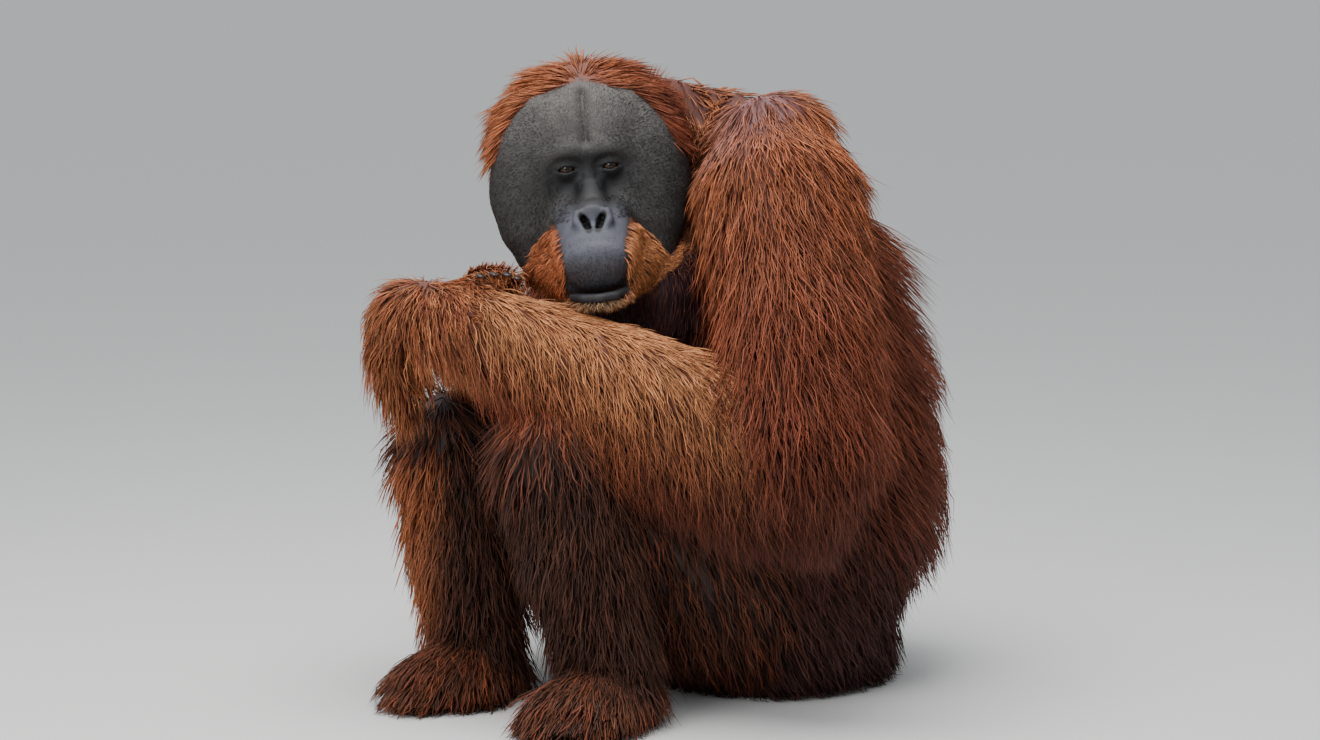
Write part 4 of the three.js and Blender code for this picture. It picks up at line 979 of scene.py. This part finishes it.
BODY_COAT = [
    # regions, tufts, width in mm, slot, segments
    (("torso", "neck"), 14500, 2.4, "hair_back", 3),
    (("upper_arm_left",), 8000, 2.0, "hair_arm", 4),
    (("upper_arm_right",), 5000, 2.5, "hair_arm", 3),
    (("forearm_left",), 8600, 1.9, "hair_arm", 4),
    (("forearm_right",), 3000, 2.2, "hair_arm", 3),
    (("thigh_left", "thigh_right"), 5200, 2.5, "hair_leg", 3),
    (("lower_leg_left", "lower_leg_right"), 5600, 2.3, "hair_leg", 3),
    (("hand_left", "hand_right"), 5600, 1.9, "hair_arm", 3),
    (("foot_left", "foot_right"), 4200, 2.2, "hair_leg", 3),
    (("throat",), 1500, 1.4, "hair_back", 3),
]
for names, count, width, slot, segments in BODY_COAT:
    weight = np.isin(regions_of_squares, names) & ~hidden & ~on_sole
    spots, normals, chosen = roots_on(vertices, squares, weight, count)
    along, around = square_along[chosen], square_around[chosen]
    height = spots[:, 2]
    region = names[0]
    side = "left" if "left" in region else "right"
    if region == "torso":
        rearward = np.sum((spots - np.array([12, 6, 0]) * MM) * -FORWARD, 1)
        flow = 0.35 * np.column_stack([np.sign(spots[:, 0] - 0.02), 0 * height, 0 * height]) - UP
        flow = flow - FORWARD * 0.25
        length = 0.08 + 0.055 * step_up(rearward, -0.02, 0.12) * step_up(height, 0.14, 0.3)
        length = length * (1 - 0.45 * step_up(height, 0.62, 0.72))
        lift, droop = 0.34 + 0.22 * step_up(height, 0.2, 0.32) * (1 - step_up(height, 0.62, 0.7)), 0.09
        # Partly darker rump hair, partly painted light and shade: the coat darkens towards the bottom of the
        # trunk, and its tips turn paler orange towards the top
        low_hair_and_shade = 1 - ragged_step(height, 0.05, 0.1, 0.42)
        root = mix(DEEP, RUMP * 0.6, low_hair_and_shade)
        tip = mix(mix(RED_BROWN * 0.75, ORANGE * 0.8, step_up(height, 0.55, 0.75)), RUMP, low_hair_and_shade)
    elif region.startswith("upper_arm"):
        arm_line = unit(np.array(ELBOW[side], float) - np.array(SHOULDER[side], float))
        flow = arm_line * 0.9 - UP * 0.5 - FORWARD * 0.45
        length = 0.055 + 0.06 * step_up(along, 0.15, 0.6)
        lift, droop = 0.18 + 0.2 * step_up(along, 0.1, 0.4), 0.10
        mauve = 1 - step_up(np.linalg.norm(spots - bare_spot, axis=1), 0.02, 0.085)
        # Painted shade: the coat darkens on the lower part of the arm, below about 0.3 to 0.5 m up
        shade = 1 - ragged_step(height, 0.04, 0.3, 0.5)
        root = mix(RED_BROWN * 0.45, DARK, 0.7 * shade)
        tip = mix(ORANGE * 0.85, RED_BROWN * 0.8, ragged_step(along, 0.15, 0.05, 0.6))
        tip = mix(tip, SHOULDER_MAUVE * 1.1, 0.5 * mauve)
        tip = mix(tip, DEEP * 0.8, 0.7 * shade)
    elif region.startswith("forearm"):
        elbow = np.array(ELBOW[side], float) * MM
        wrist = np.array(WRIST[side], float) * MM
        under = step_up(-normals[:, 2], -0.55, 0.5)
        flow = unit(elbow - wrist) * 0.75 - UP * 0.9
        length = 0.05 + 0.065 * under
        lift, droop = 0.22 + 0.2 * under, 0.1 + 0.14 * under
        # Painted light and shade: the tips are gold on top and red-brown underneath, and the whole coat
        # darkens low down
        shade = 1 - ragged_step(height, 0.04, 0.3, 0.44)
        root = mix(mix(ORANGE * 0.45, DEEP * 0.8, under), DARK, 0.8 * shade)
        tip = mix(mix(GOLD * 0.95, RED_BROWN * 0.85, under), DEEP * 0.8, 0.8 * shade)
    elif region.startswith("thigh"):
        flow = -UP - FORWARD * 0.35
        length = 0.08
        lift, droop = 0.35, 0.12
        # Partly darker leg hair, partly painted shade under the forearm: the thigh's coat is dark
        root, tip = DARK * 1.5, mix(LEG_TIP, RED_BROWN, 0.6 * (rng.random(count) > 0.6))
    elif region.startswith("lower_leg"):
        flow = -UP
        length = 0.07 + 0.02 * along
        lift, droop = 0.35 + 0.35 * (1 - step_up(along, 0.05, 0.3)), 0.08
        # Partly darker leg hair, partly painted shade between the legs: the lower legs' coat is dark except
        # on the outer shin, whose tips are orange
        outer = step_up(-spots[:, 0], 0.34, 0.4)
        root = mix(DARK, RED_BROWN * 0.6, outer)
        tip = mix(mix(DARK, LEG_TIP, rng.uniform(0.5, 1.1, count)), ORANGE * 0.9, 0.85 * outer)
    elif region.startswith("hand"):
        crest = np.array(between(WRIST["left"], KNUCKLES["left"], 0.8, (0, 0, 20))) * MM
        left = spots[:, 0] < -0.33
        flow = np.where(left[:, None], unit(spots - crest) - UP * 0.5,
                        unit(np.array(KNUCKLES["right"]) - np.array(WRIST["right"], float)) + UP * 0.1)
        under = step_up(-normals[:, 2], -0.2, 0.6)
        length = np.where(left, 0.048 + 0.042 * under, 0.032)
        lift, droop = 0.4 - 0.28 * step_up(-normals[:, 0], 0.2, 0.8), 0.2 + 0.3 * under
        root, tip = RED_BROWN * 0.5, mix(GOLD * 0.9, RED_BROWN, rng.random(count) ** 0.7)
    elif region == "throat":
        flow = -UP + 0.2 * FORWARD
        length = 0.036
        lift, droop = 0.2, 0.05
        root, tip = linear(72, 50, 52), linear(120, 76, 66)
    else:
        direction = np.where((spots[:, 0] < -0.27)[:, None], np.array([*feet["foot_right"][1], -0.5]),
                             np.array([*feet["foot_left"][1], -0.5]))
        facing = step_up(np.sum(normals * direction, 1), 0.2, 0.8)
        flow = direction * (1 - 0.6 * facing)[:, None] - UP * facing[:, None]
        length = 0.068
        lift, droop = 0.5, 0.34
        root, tip = DARK * 1.2, mix(FOOT_TIP, RED_BROWN, 0.6 * (rng.random(count) > 0.5))
    coat(region.split("_left")[0] if len(names) > 1 else region, spots, normals, flow, length, lift, droop,
         width * MM * rng.uniform(*WIDTH_SPREAD, count), root, tip, slot,
         atlas_place(body_which[squares[chosen, 0]], along, around), segments=segments)

# ---- Crown, hood and beard
# Short combed hair parts at a peak on the brow and lies back and outwards, hooding the pads. An
# orange beard stands out at the sides of the muzzle, with a short grizzled tuft on the chin.

head_world = from_head(head_vertices)
head_which, head_along, head_around = nearest_part(head_vertices, HEAD)
head_region = np.array([entry[0] for entry in HEAD])[head_which]
square_head = h[head_squares].mean(1)
square_region = head_region[head_squares[:, 0]]
in_rim = reach_inside(square_head, RIM_HEIGHTS, RIM_WIDTHS)
in_muzzle = reach_inside(square_head, MUZZLE_HEIGHTS, MUZZLE_WIDTHS)
in_pad_edge = reach_inside(square_head, PAD_EDGE_HEIGHTS, PAD_EDGE_WIDTHS)
height, ahead = square_head[:, 2], -square_head[:, 1]
pad_front = (square_region == "pad") & (height < 34) & (ahead > -16)
scalp = ((in_rim < 1) & (height > 20) | (ahead < -16)) & ((height > -70) | (ahead < -45)) & ~pad_front
chin = (height < -152) & (ahead > 20) & (np.abs(square_head[:, 0]) < 36)
beard = (height < -60) & (in_muzzle < rng.uniform(-4, 6, len(height))) & (ahead > -50) & ~chin
beard = beard & ((in_pad_edge > 0) | (height < -125))
bristle = (in_muzzle > -2) & (height < rng.uniform(-110, -70, len(height))) & (height > -136) & (ahead > 60)


def head_coat(name, where, count, flow_of, length_of, lift, droop, width, root, tip, slot, segments=3,
              **more):
    """Grows tufts on part of the head. The lie and length come from the root's place on it."""
    spots, normals, chosen = roots_on(head_world, head_squares, where.astype(float), count)
    local = to_head(spots) / MM
    places = atlas_place(len(BODY) + head_which[head_squares[chosen, 0]],
                         head_along[head_squares[chosen, 0]], head_around[head_squares[chosen, 0]])
    coat(name, spots, normals, flow_of(local) @ HEAD_TURN.T, length_of(local), lift, droop,
         width * MM * rng.uniform(*WIDTH_SPREAD, count), root, tip(local), slot, places,
         material=short_hair, segments=segments, **more)


def crown_flow(local):
    """Round the rim of the disc from its top down both sides, and straight back behind it."""
    x, y, z = local.T
    r = np.maximum(np.hypot(x, z), 1)
    behind = step_up(y, 40, 90)
    side = np.clip(x / 16, -1, 1)
    middle = 1 - np.abs(side)
    return np.column_stack([side * (np.maximum(z, 0) / r + 0.15), 0.25 + 0.8 * behind + 0.7 * middle,
                            -np.abs(x) / r - 0.2 * behind])


def beard_flow(local):
    """Down, and outwards in proportion to the distance from the middle of the face."""
    return np.column_stack([local[:, 0] / 70, 0 * local[:, 0] - 0.05, -1 + 0 * local[:, 0]])


head_coat("crown", scalp, 9500, crown_flow,
          lambda p: 42 * MM + 24 * MM * step_up(p[:, 1], 50, 120), 0.26, 0.03, 1.9, RED_BROWN * 0.7,
          lambda p: mix(ORANGE * 0.8, RED_BROWN * 0.75, step_up(p[:, 0], -40, 110)), "hair_crown",
          gather=0.3, cell=0.01, wave=0.02)
head_coat("beard", beard, 6500, beard_flow, lambda p: 13 * MM + 0.09 * MM * np.abs(p[:, 0]), 0.3, 0.03, 1.2,
          RED_BROWN * 0.9, lambda p: mix(ORANGE, GOLD, step_up(p[:, 0], -40, 60)), "hair_crown",
          cell=0.008, stray=0.2)
head_coat("chin", chin, 2600, beard_flow, lambda p: 19 * MM, 0.35, 0.02, 0.9,
          linear(60, 48, 42), lambda p: mix(linear(176, 142, 106), ORANGE, np.abs(p[:, 0]) / 60),
          "hair_crown", gather=0.15, cell=0.006, stray=0.2)

# Stubble: short pale hairs on the pads and the brow, lying outwards, and bristles over the mouth
SPECKLE_LOW, SPECKLE_HIGH = linear(40, 39, 38), linear(130, 124, 115)


def speckled(local):
    """Dark and pale hairs at random, paler on average towards the top of the face."""
    pale = rng.random(len(local)) ** 1.6 * (0.65 + 0.35 * step_up(local[:, 2], -60, 110))
    return mix(SPECKLE_LOW, SPECKLE_HIGH, pale)


def pad_flow(local):
    """Outwards from the eyes, and down."""
    return unit((local - (0, 0, 8)) * (1, 0.2, 1)) - np.array([0, 0, 0.35])


stubble_on = (in_rim > -1) & ((in_pad_edge < 2) | (height > -52)) & (height > -128) & (ahead > -12)
round_eyes = np.hypot(square_head[:, 0] / 62, (height + 2) / 34)
stubble_on = stubble_on & (round_eyes > rng.uniform(0.6, 1.0, len(height)))
stubble_on = stubble_on & ((np.abs(square_head[:, 0]) > rng.uniform(24, 34, len(height))) | (height > -30))
head_coat("pad_stubble", stubble_on, 26000, pad_flow, lambda p: 6.5 * MM, 0.16, 0.0, 1.1,
          SPECKLE_LOW, speckled, "cheek_skin", segments=1, gather=0.0, wave=0.0)
head_coat("bristles", bristle, 2600, lambda p: np.tile([0.0, -0.2, -1.0], (len(p), 1)),
          lambda p: 6 * MM, 0.2, 0.0, 0.7, SPECKLE_LOW, speckled, "cheek_skin", segments=1, gather=0.0,
          wave=0.0)

# ---- Floor, light and camera
# A plain pale floor under soft light from above and from the front, seen from a little above.

floor_colour = Shader("pale_floor")
floor_colour.set(Base_Color=(0.72, 0.71, 0.69, 1), Roughness=0.8)
FLOOR = 60.0  # half a side, so large that its edge lies beyond the picture
floor_corners = FLOOR * np.array([[-1, -1, 0], [1, -1, 0], [1, 1, 0], [-1, 1, 0]])
floor = mesh_object("floor", floor_corners, np.array([[0, 1, 2, 3]]), smooth=False)
floor.data.materials.append(floor_colour.material)
floor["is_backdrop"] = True

WORLD_COLOUR, WORLD_STRENGTH = (0.86, 0.9, 0.94, 1), 0.78
world = bpy.data.worlds.new("studio")
bpy.context.scene.world = world
world.use_nodes = True
backdrop = world.node_tree.nodes["Background"]
backdrop.inputs["Color"].default_value = WORLD_COLOUR
backdrop.inputs["Strength"].default_value = WORLD_STRENGTH


def soft_light(name, place, aim, size, power):
    """A square light at a place, turned to face its aim."""
    lamp = bpy.data.lights.new(name, "AREA")
    lamp.size, lamp.energy = size, power
    thing = bpy.data.objects.new(name, lamp)
    bpy.context.scene.collection.objects.link(thing)
    thing.location = place
    thing.rotation_euler = (Vector(aim) - Vector(place)).to_track_quat("-Z", "Y").to_euler()


soft_light("overhead", (-0.3, -0.6, 2.6), (0, 0, 0.5), 1.8, 78)
soft_light("front", (-1.6, -2.6, 1.5), (-0.1, -0.1, 0.45), 1.6, 34)

CAMERA_TILT = math.radians(7.0)
CAMERA_DISTANCE = 5.5
CAMERA_LENS = 117.2
CAMERA_AIM = np.array([-0.0896, -0.1, 0.416])
camera_data = bpy.data.cameras.new("camera")
camera_data.lens = CAMERA_LENS
camera = bpy.data.objects.new("camera", camera_data)
bpy.context.scene.collection.objects.link(camera)
line_of_sight = np.array([0, math.cos(CAMERA_TILT), -math.sin(CAMERA_TILT)])
camera.location = CAMERA_AIM - CAMERA_DISTANCE * line_of_sight
camera.rotation_euler = (math.pi / 2 - CAMERA_TILT, 0, 0)
bpy.context.scene.camera = camera
